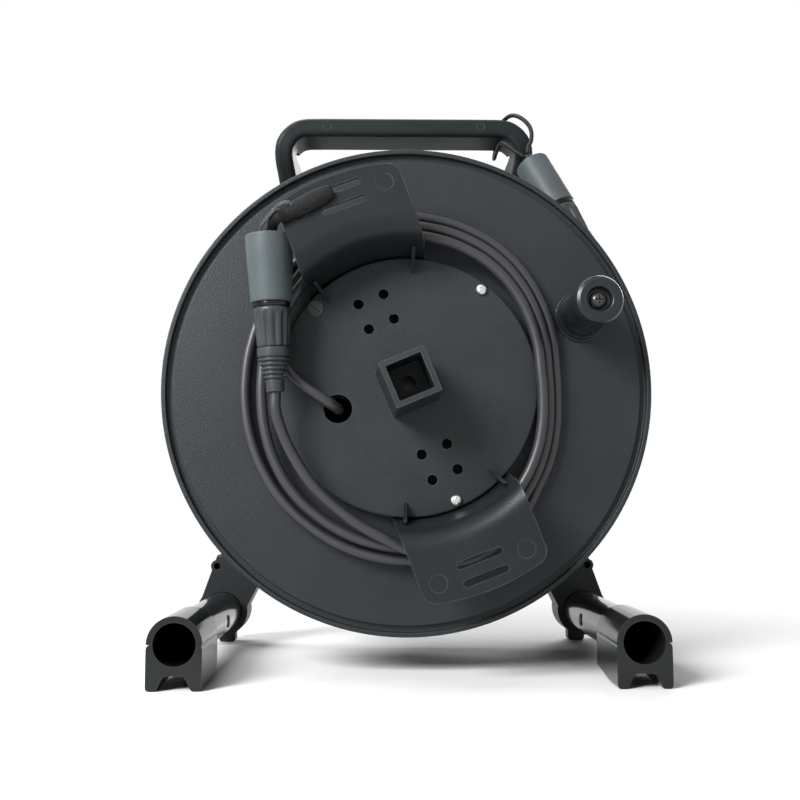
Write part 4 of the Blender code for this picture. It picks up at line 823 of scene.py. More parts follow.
WHITE_NYLON = Finish("white_nylon", Slot.NYLON, (0.68, 0.68, 0.64), (0.60, 0.60, 0.55),
                     (0.75, 0.75, 0.70), (0.35, 0.48), (800.0, 24.0, 0.1), 0.2, 0.10)


def dress(item: Piece, finish: Finish, body: Body, *nodes: str, angle: float = SMOOTH_DEGREES) -> Piece:
    """Gives a piece its finish, what it moves with and the nodes that it stands for.

    Args:
        item: The piece.
        finish: Its finish.
        body: What it moves with.
        nodes: Names of the nodes that it replaces.
        angle: Edges sharper than this stay sharp.

    Returns:
        The piece.
    """
    item.data.materials.clear()
    item.data.materials.append(finish.material())
    if item.type == "MESH":
        select_only(item)
        bpy.ops.object.shade_smooth_by_angle(angle=math.radians(angle))
        even = item.modifiers.new("Even", "WEIGHTED_NORMAL")
        even.weight, even.keep_sharp = FLAT_WEIGHT, True
        bpy.ops.object.modifier_apply(modifier=even.name)
    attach(item, body.value)
    if nodes:
        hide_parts(*nodes)
    log.info("piece %s rides on %s", item.name, body.value)
    return item


# Camera, floor and light


@dataclass
class Studio:
    """The camera at the photograph's place, a plain floor and soft light from the upper left."""

    camera_place: Place = (-0.01789, FACE_Y - 0.6409, AXLE_HEIGHT - 0.0717)
    lens: float = 45.9
    sensor: float = 36.0
    clip: Pair = (0.02, 60.0)
    focal_pixels: float = 1020.0
    axle_pixel: Pair = (379.0, 502.0)
    half_frame: float = 400.0
    floor_size: float = 12.0
    floor_tones: tuple[Colour, Colour] = ((0.89, 0.89, 0.885), (0.93, 0.93, 0.93))
    floor_scale: float = 40.0
    floor_detail: float = 3.0
    floor_roughness: float = 0.9
    floor_gloss: float = 0.1
    floor_fade: Pair = (0.19, 0.46)
    surround: float = 0.10
    lit_depth: float = 0.04
    lamps: tuple[tuple[str, Place, float, float], ...] = (
        ("key_lamp", (-1.00, -1.20, 0.95), 0.8, 52.0), ("top_lamp", (-0.45, 0.20, 1.55), 1.1, 16.0),
        ("back_lamp", (0.6, 1.5, 0.9), 0.9, 10.0))

    def camera(self) -> None:
        """Sets up the camera, turned so that the axle falls on its pixel."""
        across, down = [(pixel - self.half_frame) / self.focal_pixels for pixel in self.axle_pixel]
        ahead = Vector((across, down, 1)).normalized()
        side = Vector((ahead.z, 0, -ahead.x))
        side.normalize()
        turn = Matrix((side, ahead, side.cross(ahead)))
        right, lower, forward = (turn @ Vector(axis) for axis in ((1, 0, 0), (0, 1, 0), (0, 0, 1)))
        basis = Matrix((right, -lower, -forward)).transposed().to_4x4()
        basis.translation = Vector(self.camera_place)
        data = bpy.data.cameras.new("camera")
        data.lens, data.sensor_width = self.lens, self.sensor
        data.clip_start, data.clip_end = self.clip
        camera = bpy.data.objects.new("camera", data)
        camera.matrix_world = basis
        bpy.context.scene.collection.objects.link(camera)
        bpy.context.scene.camera = camera

    def seen_directly(self, tree: Tree) -> Socket:
        """A mask of the rays that show a backdrop: from the camera, and in gloss and glass.

        Args:
            tree: The tree that it goes in.

        Returns:
            The mask's socket.
        """
        path = tree.nodes.new("ShaderNodeLightPath")
        total = path.outputs["Is Camera Ray"]
        for label in ("Is Glossy Ray", "Is Transmission Ray"):
            total = combined(tree, "MAXIMUM", total, path.outputs[label])
        return total

    def floor(self) -> None:
        """A pale floor that keeps the shadow and turns plain white away from the object."""
        clear_selection()
        bpy.ops.mesh.primitive_plane_add(size=self.floor_size, location=(0, 0, 0))
        floor = bpy.context.object
        floor.name = "studio_floor"
        material = bpy.data.materials.new("studio_floor")
        material.use_nodes = True
        tree = material.node_tree
        matte = tree.nodes["Principled BSDF"]
        matte.inputs["Roughness"].default_value = self.floor_roughness
        matte.inputs["Specular IOR Level"].default_value = self.floor_gloss
        grain = Grain.noise(tree, self.floor_detail)
        grain.inputs["Scale"].default_value = self.floor_scale
        tone = tree.nodes.new("ShaderNodeValToRGB")
        for stop, shade in zip(tone.color_ramp.elements, self.floor_tones):
            stop.color = (*shade, 1.0)
        tree.links.new(grain.outputs["Fac"], tone.inputs["Fac"])
        tree.links.new(tone.outputs["Color"], matte.inputs["Base Color"])
        place = tree.nodes.new("ShaderNodeTexCoord")
        reach = tree.nodes.new("ShaderNodeVectorMath")
        reach.operation = "LENGTH"
        tree.links.new(place.outputs["Object"], reach.inputs[0])
        fade = Grain.span(tree, *self.floor_fade, 0.0, 1.0)
        tree.links.new(reach.outputs["Value"], fade.inputs["Value"])
        white = tree.nodes.new("ShaderNodeEmission")
        mix = tree.nodes.new("ShaderNodeMixShader")
        tree.links.new(combined(tree, "MULTIPLY", fade.outputs["Result"], self.seen_directly(tree)),
                       mix.inputs["Fac"])
        tree.links.new(matte.outputs["BSDF"], mix.inputs[1])
        tree.links.new(white.outputs["Emission"], mix.inputs[2])
        tree.links.new(mix.outputs["Shader"], tree.nodes["Material Output"].inputs["Surface"])
        floor.data.materials.append(material)

    def light(self) -> None:
        """A white surround and three soft lamps."""
        world = bpy.data.worlds.new("surround")
        bpy.context.scene.world = world
        world.use_nodes = True
        tree = world.node_tree
        back = tree.nodes["Background"]
        level = Grain.span(tree, 0.0, 1.0, self.surround, 1.0)
        tree.links.new(self.seen_directly(tree), level.inputs["Value"])
        tree.links.new(level.outputs["Result"], back.inputs["Strength"])
        back.inputs["Color"].default_value = (1, 1, 1, 1)
        for name, place, size, power in self.lamps:
            lamp = bpy.data.lights.new(name, "AREA")
            lamp.shape, lamp.size, lamp.energy = "DISK", size, power
            item = bpy.data.objects.new(name, lamp)
            item.location = place
            item.rotation_mode = "QUATERNION"
            item.rotation_quaternion = (Vector(place) - spot(0, self.lit_depth, 0)).to_track_quat("Z", "Y")
            bpy.context.scene.collection.objects.link(item)

    def build(self) -> None:
        """Sets up the camera, the floor and the light."""
        self.camera()
        self.floor()
        self.light()
        bpy.context.scene.view_settings.view_transform = "Standard"


# Cable


@dataclass
class CoilOnHub:
    """The free cable on the winding side: out of the hub, round the coil and up to the front connector.

    A key is (degrees turned, radius, depth), and a place under the holder is (radius, degrees, depth).
    """

    start_degrees: float = 150.0
    steps_per_turn: int = 30
    lead_depth: float = 0.045
    connector_end: Place = (-0.0799, -0.0320, -0.0060)
    connector_way: Place = (-0.046, -0.040, 0.943)
    keys: tuple[Place, ...] = (
        (0, 0.0886, -0.0170), (37.4, 0.0945, -0.0155), (90, 0.0925, -0.0150), (130, 0.0850, -0.0154),
        (150, 0.0830, -0.0156), (190, 0.0925, -0.0142), (217, 0.0985, -0.0130), (240, 0.0995, -0.0130),
        (285, 0.0965, -0.0130), (330, 0.0904, -0.0130), (360, 0.0938, -0.0116), (397.4, 0.1010, -0.0113),
        (450, 0.0995, -0.0114), (490, 0.0908, -0.0105), (510, 0.0880, -0.0100), (550, 0.0980, -0.0090),
        (577, 0.1055, -0.0090), (600, 0.1073, -0.0088), (645, 0.1050, -0.0075), (690, 0.1016, -0.0055),
        (720, 0.1030, -0.0050), (757.4, 0.1085, -0.0060), (810, 0.1065, -0.0064), (850, 0.0970, -0.0055),
        (870, 0.0936, -0.0050), (910, 0.1035, -0.0042))
    under_holder: tuple[Place, ...] = (
        (0.1115, -58, -0.0080), (0.1125, -70, -0.0132), (0.1100, -78, -0.0172), (0.1040, -86, -0.0203),
        (0.0965, -96, -0.0218), (0.0895, -112, -0.0230), (0.0848, -131, -0.0240), (0.0820, -150, -0.0268))

    def eased(self, turned: float) -> Pair:
        """Radius and depth on the coil.

        Args:
            turned: Degrees turned from the coil's start.

        Returns:
            The radius and the depth.
        """
        index = max(i for i, key in enumerate(self.keys[:-1]) if key[0] <= turned)
        near = [self.keys[max(0, min(len(self.keys) - 1, index + shift))] for shift in (-1, 0, 1, 2)]
        run = near[2][0] - near[1][0]
        t = (turned - near[1][0]) / run
        values = []
        for part in (1, 2):
            start, end = near[1][part], near[2][part]
            leave = (end - near[0][part]) / (near[2][0] - near[0][0]) * run
            arrive = (near[3][part] - start) / (near[3][0] - near[1][0]) * run
            values.append((2 * t ** 3 - 3 * t ** 2 + 1) * start + (t ** 3 - 2 * t ** 2 + t) * leave
                          + (3 * t ** 2 - 2 * t ** 3) * end + (t ** 3 - t ** 2) * arrive)
        return values[0], values[1]

    def loops(self) -> list[Vector]:
        """The points of the coil's loops."""
        whole = self.keys[-1][0]
        count = round(whole / 360 * self.steps_per_turn)
        turns = [whole * step / count for step in range(count + 1)]
        return [polar(self.eased(turn)[0], self.start_degrees - turn, self.eased(turn)[1]) for turn in turns]

    def lead_in(self, first: Vector, second: Vector) -> list[Vector]:
        """From the winding through the core's wall and out of the hub cover to the coil.

        Args:
            first: The coil's first point.
            second: The coil's second point.

        Returns:
            The points before the coil.
        """
        outward, _ = ways_at(EXIT_DEGREES)
        bore = (CORE_RADIUS + GAP) * math.cos(math.pi / 24) - GAP
        inside = [(bore, self.lead_depth), (bore - 2 * CABLE_RADIUS, self.lead_depth), (0.067, 0.0435),
                  (0.0565, 0.037), (0.0490, 0.026), (0.0460, 0.013), (0.0457, 0.0)]
        route = [spot(0, depth, 0) + outward * radius for radius, depth in inside]
        route += [spot(-0.0436, -0.0100, -0.0140), spot(-0.0470, -0.0165, -0.0120),
                  spot(-0.0560, -0.0192, -0.0060), spot(-0.0670, -0.0190, 0.0020),
                  spot(-0.0765, -0.0180, 0.0130), spot(-0.0812, -0.0173, 0.0270)]
        way = (second - first).normalized()
        return smooth_route([*route, first - way * (2 * CABLE_RADIUS + GAP)], 24)

    def lead_out(self, last: Vector, end: Vector) -> list[Vector]:
        """From the coil under the lower holder and up to the front connector's boot.

        Args:
            last: The coil's last point but one.
            end: The coil's last point.

        Returns:
            The points after the coil.
        """
        way = (end - last).normalized()
        route = [end + way * (2 * CABLE_RADIUS + GAP)]
        route += [polar(*place) for place in self.under_holder]
        boot, along = spot(*self.connector_end), Vector(self.connector_way).normalized()
        return smooth_route([*route, boot - along * (4 * CABLE_RADIUS), boot - along * GAP], 22)

    def build(self) -> Piece:
        """Makes the cable as one line.

        Returns:
            The cable.
        """
        loops = self.loops()
        points = self.lead_in(loops[0], loops[1]) + loops + self.lead_out(loops[-2], loops[-1])
        cable = line_of("network_cable_coil", points, CABLE_RADIUS, 16)
        return dress(cable, CABLE_JACKET, Body.DRUM, "cable_coil", "cable_lead_in", "cable_lead_out")

    def declare(self, cable: Piece, pieces: list[Piece]) -> None:
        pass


@dataclass
class CableTail:
    """The outer end of the cable, from the winding up to the outer connector."""

    connector_end: Place = (0.1263, 0.0217, 0.0816)
    connector_way: Place = (-0.39, 0.32, 0.862)
    rise: tuple[Place, ...] = (
        (0.1335, 0.0170, 0.0640), (0.1385, 0.0155, 0.0490), (0.1415, 0.0160, 0.0310),
        (0.1410, 0.0180, 0.0120), (0.1375, 0.0200, -0.0070), (0.1310, 0.0215, -0.0255),
        (0.1208, 0.0220, -0.0420))

    def build(self) -> Piece:
        """Makes the tail.

        Returns:
            The tail.
        """
        boot, along = spot(*self.connector_end), Vector(self.connector_way).normalized()
        over = WINDING_RADIUS + 2 * CABLE_RADIUS + 3 * GAP
        route = [boot - along * GAP, boot - along * (2 * CABLE_RADIUS + GAP)]
        route += [spot(*place) for place in self.rise]
        route += [polar(over, degrees, 0.0220) for degrees in (-29, -38, -48, -58, -61.5)]
        tail = line_of("cable_tail_to_winding", smooth_route(route[::-1], 30), CABLE_RADIUS, 16)
        return dress(tail, CABLE_JACKET, Body.FRAME, "cable_tail")

    def declare(self, tail: Piece, pieces: list[Piece]) -> None:
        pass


@dataclass
class WoundCable:
    """The cable wound on the drum: the outer layer turn by turn, and the layer under it."""

    loops: int = 15
    steps_per_turn: int = 72

    def build(self) -> None:
        """Makes both layers."""
        start = FLANGE_THICKNESS + 2 * GAP + CABLE_RADIUS
        end = DRUM_WIDTH - start
        count = self.loops * self.steps_per_turn
        points = [polar(WINDING_RADIUS, EXIT_DEGREES - 360 * step / self.steps_per_turn,
                        start + (end - start) * step / count) for step in range(count + 1)]
        layer = line_of("wound_outer_layer", points, CABLE_RADIUS, 14)
        layer.data.resolution_u = 1
        select_only(layer)
        bpy.ops.object.convert(target="MESH")
        close_up(layer)
        dress(layer, CABLE_JACKET, Body.DRUM, "cable_outer_layer", angle=60)

        front, back = FLANGE_THICKNESS + GAP, DRUM_WIDTH - FLANGE_THICKNESS - GAP
        under = WINDING_RADIUS * math.cos(math.pi / 18) - CABLE_RADIUS - GAP
        turns = round((back - front) / (2 * CABLE_RADIUS))
        pitch = (back - front) / turns
        profile = [(CORE_RADIUS + GAP, front)]
        for turn in range(turns):
            for step in range(7):
                share = math.pi * step / 6
                height = front + pitch * (turn + 0.5 - 0.5 * math.cos(share))
                profile.append((under - CABLE_RADIUS * (1 - math.sin(share)) * 0.8, height))
        profile.append((CORE_RADIUS + GAP, back))
        layers = lathe("wound_inner_layers", profile, 96)
        dress(layers, CABLE_JACKET, Body.DRUM, "cable_inner_layers", angle=60)


# Connectors


@dataclass
class DataConnector:
    """A capped cable connector: ribbed boot, fluted bushing, ring and shell, and a rubber cap.

    A ring of the bushing is (share of its length, how far it is drawn in, share of the flutes' depth).
    """

    name: str
    end: Place
    way: Place
    body: Body
    cap_mouth_radius: float
    cap_top_radius: float
    boot_length: float = 0.0265
    boot_radius: float = 0.0100
    boot_end_radius: float = 0.0056
    boot_rings: int = 6
    bushing_length: float = 0.024
    bushing_radius: float = 0.0112
    bushing_end_radius: float = 0.0097
    flutes: int = 12
    flute_depth: float = 0.0011
    bushing_rings: tuple[Place, ...] = (
        (0.0, 0.0009, 0.3), (0.02, 0.0003, 0.5), (0.05, 0.0, 0.6), (0.2, 0.0, 0.8), (0.4, 0.0, 1.0),
        (0.6, 0.0, 1.0), (0.74, 0.0, 1.0), (0.81, 0.0, 0.75), (0.86, 0.0, 0.3), (0.89, 0.0, 0.0),
        (0.95, 0.0, 0.0), (0.98, 0.0003, 0.0), (1.0, 0.0008, 0.0))
    ring_radius: float = 0.0112
    ring_length: float = 0.0025
    shell_radius: float = 0.0096
    shell_wall: float = 0.0012
    shell_length: float = 0.034
    cap_length: float = 0.041
    cap_base: float = 0.0035

    @property
    def place(self) -> Vector:
        """The middle of its cable end."""
        return spot(*self.end)

    @property
    def along(self) -> Vector:
        """The way from the cable to the cap."""
        return Vector(self.way).normalized()

    def turned(self, label: str, profile: Outline, steps: int) -> Piece:
        """A piece turned about the connector's line from its cable end."""
        return lathe(f"{self.name}_{label}", profile, steps, self.place, self.along)

    def boot(self) -> Piece:
        """The bend relief: a collar, rings stepping down between grooves, and an end collar.

        Returns:
            The boot.
        """
        length, collar, groove = self.boot_length, 0.0055, 0.0010
        pitch = (length - 2 * collar) / self.boot_rings
        corners: Outline = [(0, length), (self.boot_radius, length), (self.boot_radius, length - collar)]
        for index in range(self.boot_rings):
            top = length - collar - index * pitch
            share = (index + 0.5) / self.boot_rings
            radius = self.boot_radius + (self.boot_end_radius - self.boot_radius) * share
            corners += [(radius - groove, top - pitch * 0.05), (radius - groove, top - pitch * 0.40),
                        (radius, top - pitch * 0.46), (radius, top - pitch * 0.95)]
        end = self.boot_end_radius
        corners += [(end, collar), (end, 0), (0, 0)]
        boot = self.turned("ribbed_boot", rounded(corners, 0.0005, 3, closed=False), 64)
        return dress(boot, BOOT_RUBBER, self.body, f"{self.name}_boot")

    def flute_ring(self, centre: Vector, radius: float, depth: float) -> list[Vector]:
        """Points round the fluted bushing.

        Args:
            centre: The ring's middle.
            radius: The greatest radius.
            depth: How deep the flutes are.

        Returns:
            The ring's points.
        """
        across = self.along.cross(Vector((0, 1, 0))).normalized()
        up = self.along.cross(across)
        points = []
        steps = self.flutes * 12
        for step in range(steps):
            turn = math.tau * step / steps
            wave = 0.5 - 0.5 * math.cos(self.flutes * turn)
            reach = radius - depth * wave ** 1.6
            points.append(centre + across * reach * math.cos(turn) + up * reach * math.sin(turn))
        return points

    def bushing(self) -> Piece:
        """The fluted bushing that is screwed onto the shell.

        Returns:
            The bushing.
        """
        start, length = self.boot_length + GAP, self.bushing_length
        taper = self.bushing_radius - self.bushing_end_radius
        rings = []
        for share, inset, depth in self.bushing_rings:
            radius = self.bushing_end_radius + taper * min(1.0, share / 0.8) - inset
            centre = self.place + self.along * (start + length * share)
            rings.append(self.flute_ring(centre, radius, self.flute_depth * depth))
        bushing = skin(f"{self.name}_fluted_bushing", rings)
        return dress(bushing, BOOT_RUBBER, self.body, f"{self.name}_bushing")

    def shell(self) -> Piece:
        """The metal ring and the shell under the cap.

        Returns:
            The shell.
        """
        start = self.boot_length + self.bushing_length + 2 * GAP
        back = start + self.ring_length
        floor = back + 2 * self.ring_length
        inner = self.shell_radius - self.shell_wall
        mouth = back + self.shell_length
        profile = rounded([(0, start), (self.ring_radius, start), (self.ring_radius, back),
                           (self.shell_radius, back), (self.shell_radius, mouth), (inner, mouth),
                           (inner, floor), (0, floor)], 0.0004, 3, closed=False)
        return dress(self.turned("metal_shell", profile, 72), BLACK_SHELL, self.body, f"{self.name}_shell")

    def cap(self) -> Piece:
        """The rubber cap, widening to a soft top edge.

        Returns:
            The cap.
        """
        mouth = self.boot_length + self.bushing_length + self.ring_length + 3 * GAP
        top = mouth + self.cap_length
        inner, low, high = self.shell_radius + GAP, self.cap_mouth_radius, self.cap_top_radius
        corners: Outline = [
            (0, top - self.cap_base), (inner, top - self.cap_base), (inner, mouth), (low, mouth),
            (high - (high - low) * 0.1, top - 0.010), (high, top), (high - 0.0030, top),
            (high - 0.0036, top - 0.0004), (0, top - 0.0004)]
        cap = self.turned("rubber_cap", rounded(corners, 0.0012, 4, closed=False), 96)
        return dress(cap, CAP_RUBBER, self.body, f"{self.name}_cap")

    def build(self) -> list[Piece]:
        """Makes the connector's pieces."""
        return [self.boot(), self.bushing(), self.shell(), self.cap()]

    def top(self) -> Vector:
        """The middle of the cap's top."""
        reach = self.boot_length + self.bushing_length + self.ring_length + 3 * GAP + self.cap_length
        return self.place + self.along * reach


@dataclass
class CapStrap:
    """The front cap's rubber strap: thin at the cap, ridged over the upper holder, with a light loop.

    Its widths and heights are spaced evenly from the cap to its end.
    """

    widths: tuple[float, ...] = (0.0066, 0.0072, 0.0084, 0.0096, 0.0108, 0.0114, 0.0110, 0.0076)
    heights: tuple[float, ...] = (0.0044, 0.0044, 0.0046, 0.0048, 0.0050, 0.0050, 0.0046, 0.0034)
    rows: int = 150
    around: int = 40
    ridges: int = 27
    bumps: int = 13
    relief: float = 0.07
    end_rows: int = 5
    loop_rows: int = 26
    loop_section: Pair = (0.0020, 0.0010)

    def build(self, top: Vector) -> Piece:
        """Makes the strap.

        Args:
            top: The middle of the cap's top.

        Returns:
            The strap.
        """
        depth = -HOLDER_HEIGHT - HOLDER_WALL / 2 - 0.0028
        base = top + Vector((0.0020, -0.0030, GAP * 4))
        keys = [base, base + Vector((0.0004, -0.0010, 0.0022)), spot(-0.0790, depth - 0.0004, 0.0955),
                spot(-0.0725, depth, 0.0985), spot(-0.0640, depth, 0.1030), spot(-0.0550, depth, 0.1078),
                spot(-0.0480, depth, 0.1115), spot(-0.0455, depth, 0.1128)]
        route = smooth_route(keys, self.rows)
        rings = []
        for index, place in enumerate(route):
            share = index / (self.rows - 1) * (len(self.widths) - 1)
            low = min(int(share), len(self.widths) - 2)
            part = share - low
            width = self.widths[low] + (self.widths[low + 1] - self.widths[low]) * part
            height = self.heights[low] + (self.heights[low + 1] - self.heights[low]) * part
            wave = math.tau * self.ridges * index / (self.rows - 1)
            wide, deep = across_route(route, index)
            end = math.sqrt(max(0.05, 1 - max(0.0, (index - self.rows + self.end_rows) / self.end_rows) ** 2))
            ring = []
            for step in range(self.around):
                turn = math.tau * step / self.around
                ridge = 1 - self.relief + self.relief * math.cos(wave) * math.cos(self.bumps * turn)
                ring.append(place + wide * math.cos(turn) * width / 2 * ridge * end
                            + deep * math.sin(turn) * height / 2 * ridge * end)
            rings.append(ring)
        strap = skin("ridged_cap_strap", rings)
        return dress(strap, STRAP_RUBBER, Body.DRUM, "front_cap_strap", angle=50)

    def loop(self, top: Vector) -> Piece:
        """The light loop moulded on the cap's top, which holds the strap's foot.

        Args:
            top: The middle of the cap's top.

        Returns:
            The loop.
        """
        depth = -HOLDER_HEIGHT - HOLDER_WALL / 2 - 0.0060
        keys = [top + Vector((-0.0045, -0.0040, -0.0006)), top + Vector((-0.0040, -0.0062, 0.0040)),
                spot(-0.0815, depth, 0.0975), spot(-0.0770, depth, 0.1025), spot(-0.0715, depth, 0.1045),
                spot(-0.0690, depth + 0.0010, 0.1030)]
        route = smooth_route(keys, self.loop_rows)
        section = rounded(block_of(*self.loop_section), 0.0004, 3)
        rings = []
        for index, place in enumerate(route):
            wide, deep = across_route(route, index)
            rings.append([place + wide * u + deep * v for u, v in section])
        return dress(skin("cap_loop", rings), LOOP_RUBBER, Body.DRUM)


@dataclass
class HandleTie:
    """The thin cord that ties the outer cap to the handle, with its knot."""

    radius: float = 0.0015
    knot_radius: float = 0.0045
    handle_x: float = 0.0705
    count: int = 90

    def knot(self, place: Vector) -> Piece:
        """A small overhand knot: three turns of the cord pulled tight.

        Args:
            place: The knot's middle.

        Returns:
            The knot.
        """
        points = []
        reach = self.knot_radius - self.radius
        for step in range(self.count):
            turn = math.tau * step / self.count
            out = reach * (0.55 + 0.42 * math.cos(3 * turn))
            points.append(place + Vector((out * math.cos(2 * turn), out * math.sin(2 * turn),
                                          reach * 0.75 * math.sin(3 * turn))))
        cord = line_of("overhand_knot", points, self.radius * 0.95, 12)
        cord.data.splines[0].use_cyclic_u = True
        cord.data.resolution_u = 2
        select_only(cord)
        bpy.ops.object.convert(target="MESH")
        close_up(cord)
        return dress(cord, TIE_CORD, Body.FRAME, "tie_knot", angle=60)

    def build(self, top: Vector, along: Vector) -> None:
        """Args:
            top: The middle of the cap's top.
            along: The cap's way.
        """
        centre = top + along * (self.knot_radius + GAP)
        clear, x = self.radius + 0.0008, self.handle_x
        middle = HANDLE_MIDDLE
        front, rear = middle - HANDLE_DEPTH / 2 - clear, middle + HANDLE_DEPTH / 2 + clear
        over, under = HANDLE_BAR + HANDLE_THICKNESS / 2 + clear, HANDLE_BAR - HANDLE_THICKNESS / 2 - clear
        upward = (Vector((0, 0, 1)) + along * 0.4).normalized()
        inward = Vector((-0.8, 0.1, 0.5)).normalized()
        start = centre + upward * (self.knot_radius + GAP)
        finish = centre + inward * (self.knot_radius + GAP)
        route = [start, start + upward * 2 * self.radius, spot(x + 0.0190, front - 0.0030, over - 0.0200),
                 spot(x + 0.0185, front - 0.0020, over - 0.0110), spot(x + 0.0130, front, over - 0.0035),
                 spot(x + 0.0060, front + 0.0060, over + 0.0010), spot(x, middle, over - 0.0003),
                 spot(x - 0.0006, rear - 0.0030, over - 0.0003),
                 spot(x - 0.0010, rear + 0.0006, (over + under) / 2),
                 spot(x - 0.0030, rear - 0.0030, under - 0.0030), spot(x - 0.0030, middle, under - 0.0034),
                 spot(x - 0.0010, front + 0.0020, under - 0.0030), finish + inward * 2 * self.radius, finish]
        points = smooth_route(route, 36)
        cord = line_of("handle_tie_cord", points, self.radius, 12)
        dress(cord, TIE_CORD, Body.FRAME, "cap_tie")
        knot = self.knot(centre)


# Drum


@dataclass
class Screws:
    """Pan-head screws with a cross recess, turned once and copied."""

    head: float = 0.0037
    height: float = 0.0022
    shank: float = 0.0016
    recess: float = 0.0012

    def first(self, length: float) -> Piece:
        """One screw at the world's origin, its shank running back along +Y.

        Args:
            length: From under the head to the tip.

        Returns:
            The screw.
        """
        head, height, shank = self.head, self.height, self.shank
        profile = [(0, -height), (head * 0.30, -height * 0.99), (head * 0.55, -height * 0.92),
                   (head * 0.78, -height * 0.76), (head * 0.92, -height * 0.52), (head, -height * 0.22),
                   (head, -0.0001), (head - 0.0001, 0), (shank, 0), (shank, length - 0.001),
                   (shank * 0.5, length), (0, length)]
        screw = lathe("pan_screw", profile, 48, Vector((0, 0, 0)))
        move = from_axle(Vector((0, -height - self.recess, 0)))
        cross_recess(screw, (0.0042, 0.0010), 0, self.recess * 2, move)
        return soften(screw, 0.00012, 1, 50)

    def build(self) -> None:
        """Makes the hub's, the rear flange's and the handle's screws, each turned as it was driven."""
        ahead, behind = Matrix(), Matrix.Rotation(math.pi, 4, "Z")
        for label, length, places, depth, start, step, facing, body in (
                ("hub", 0.0238, screw_places(), -HUB_RAISE - GAP, 0.5, 1.1, ahead, Body.DRUM),
                ("rear", 0.0135, screw_places(), DRUM_WIDTH + GAP, 0.0, 0.9, behind, Body.DRUM),
                ("handle", 0.0135, handle_screw_places(), STAND_BACK + GAP, 0.0, 0.7, behind, Body.FRAME)):
            first = self.first(length)
            for index, (x, z) in enumerate(places):
                turn = Matrix.Rotation(start + step * index, 4, "Y")
                home = Matrix.Translation(spot(x, depth, z)) @ turn @ facing
                screw = twin(first, f"{label}_cross_screw_{index + 1}", home)
                dress(screw, ZINC_STEEL, body, f"{label}_screw_{index + 1}")
            bpy.data.objects.remove(first, do_unlink=True)


@dataclass
class Flanges:
    """The two flanges: a flat face, a groove, a raised rim and a skirt behind it."""

    radius: float = 0.155
    rim_depth: float = 0.009
    rim_width: float = 0.0030
    rim_lip: float = 0.0012
    groove_width: float = 0.0040
    groove_depth: float = 0.0030
    front_bore: float = 0.068
    rear_bore: float = 0.0145
    bolt_bore: float = 0.0036
    rear_rings: Pair = (0.060, 0.098)

    def profile(self, bore: float) -> Outline:
        """Radius and depth round the flange, its edges softened.

        Args:
            bore: Radius of the hole in its middle.

        Returns:
            The closed profile.
        """
        outer = self.radius - self.rim_width
        inner = outer - self.groove_width
        behind = self.groove_depth + FLANGE_THICKNESS
        soft = self.rim_width / 4
        corners: Outline = [
            (bore, 0), (inner, 0), (inner, self.groove_depth), (outer, self.groove_depth),
            (outer, -self.rim_lip), (self.radius, -self.rim_lip), (self.radius, self.rim_depth),
            (outer + soft, self.rim_depth),
            (outer + soft, behind), (inner - FLANGE_THICKNESS, behind),
            (inner - FLANGE_THICKNESS, FLANGE_THICKNESS), (bore, FLANGE_THICKNESS)]
        return rounded(corners, 0.0007, 3)

    def build(self) -> None:
        """Makes both flanges."""
        front = lathe("grooved_front_flange", self.profile(self.front_bore), 192)
        knob, reach = across_at(KNOB_OFFSET, KNOB_DEGREES), self.rim_depth
        drill(front, screw_places(), SCREW_BORE, -reach, reach, 24)
        drill(front, [knob], self.bolt_bore, -reach, reach, 24)
        dress(front, DRUM_PLASTIC, Body.DRUM, "front_flange")
        back = [(radius, DRUM_WIDTH - depth) for radius, depth in self.profile(self.rear_bore)]
        rear = lathe("grooved_rear_flange", back, 192)
        drill(rear, screw_places(), SCREW_BORE, DRUM_WIDTH - reach, DRUM_WIDTH + reach, 24)
        low, high = DRUM_WIDTH - 0.0002, DRUM_WIDTH + 0.0006
        ribs = []
        for ring in self.rear_rings:
            corners = [(ring - 0.0008, low), (ring + 0.0008, low), (ring + 0.0006, high),
                       (ring - 0.0006, high)]
            ribs.append(lathe("rear_ring", rounded(corners, 0.0003, 3), 160))
        dress(joined([rear, *ribs]), DRUM_PLASTIC, Body.DRUM, "rear_flange")


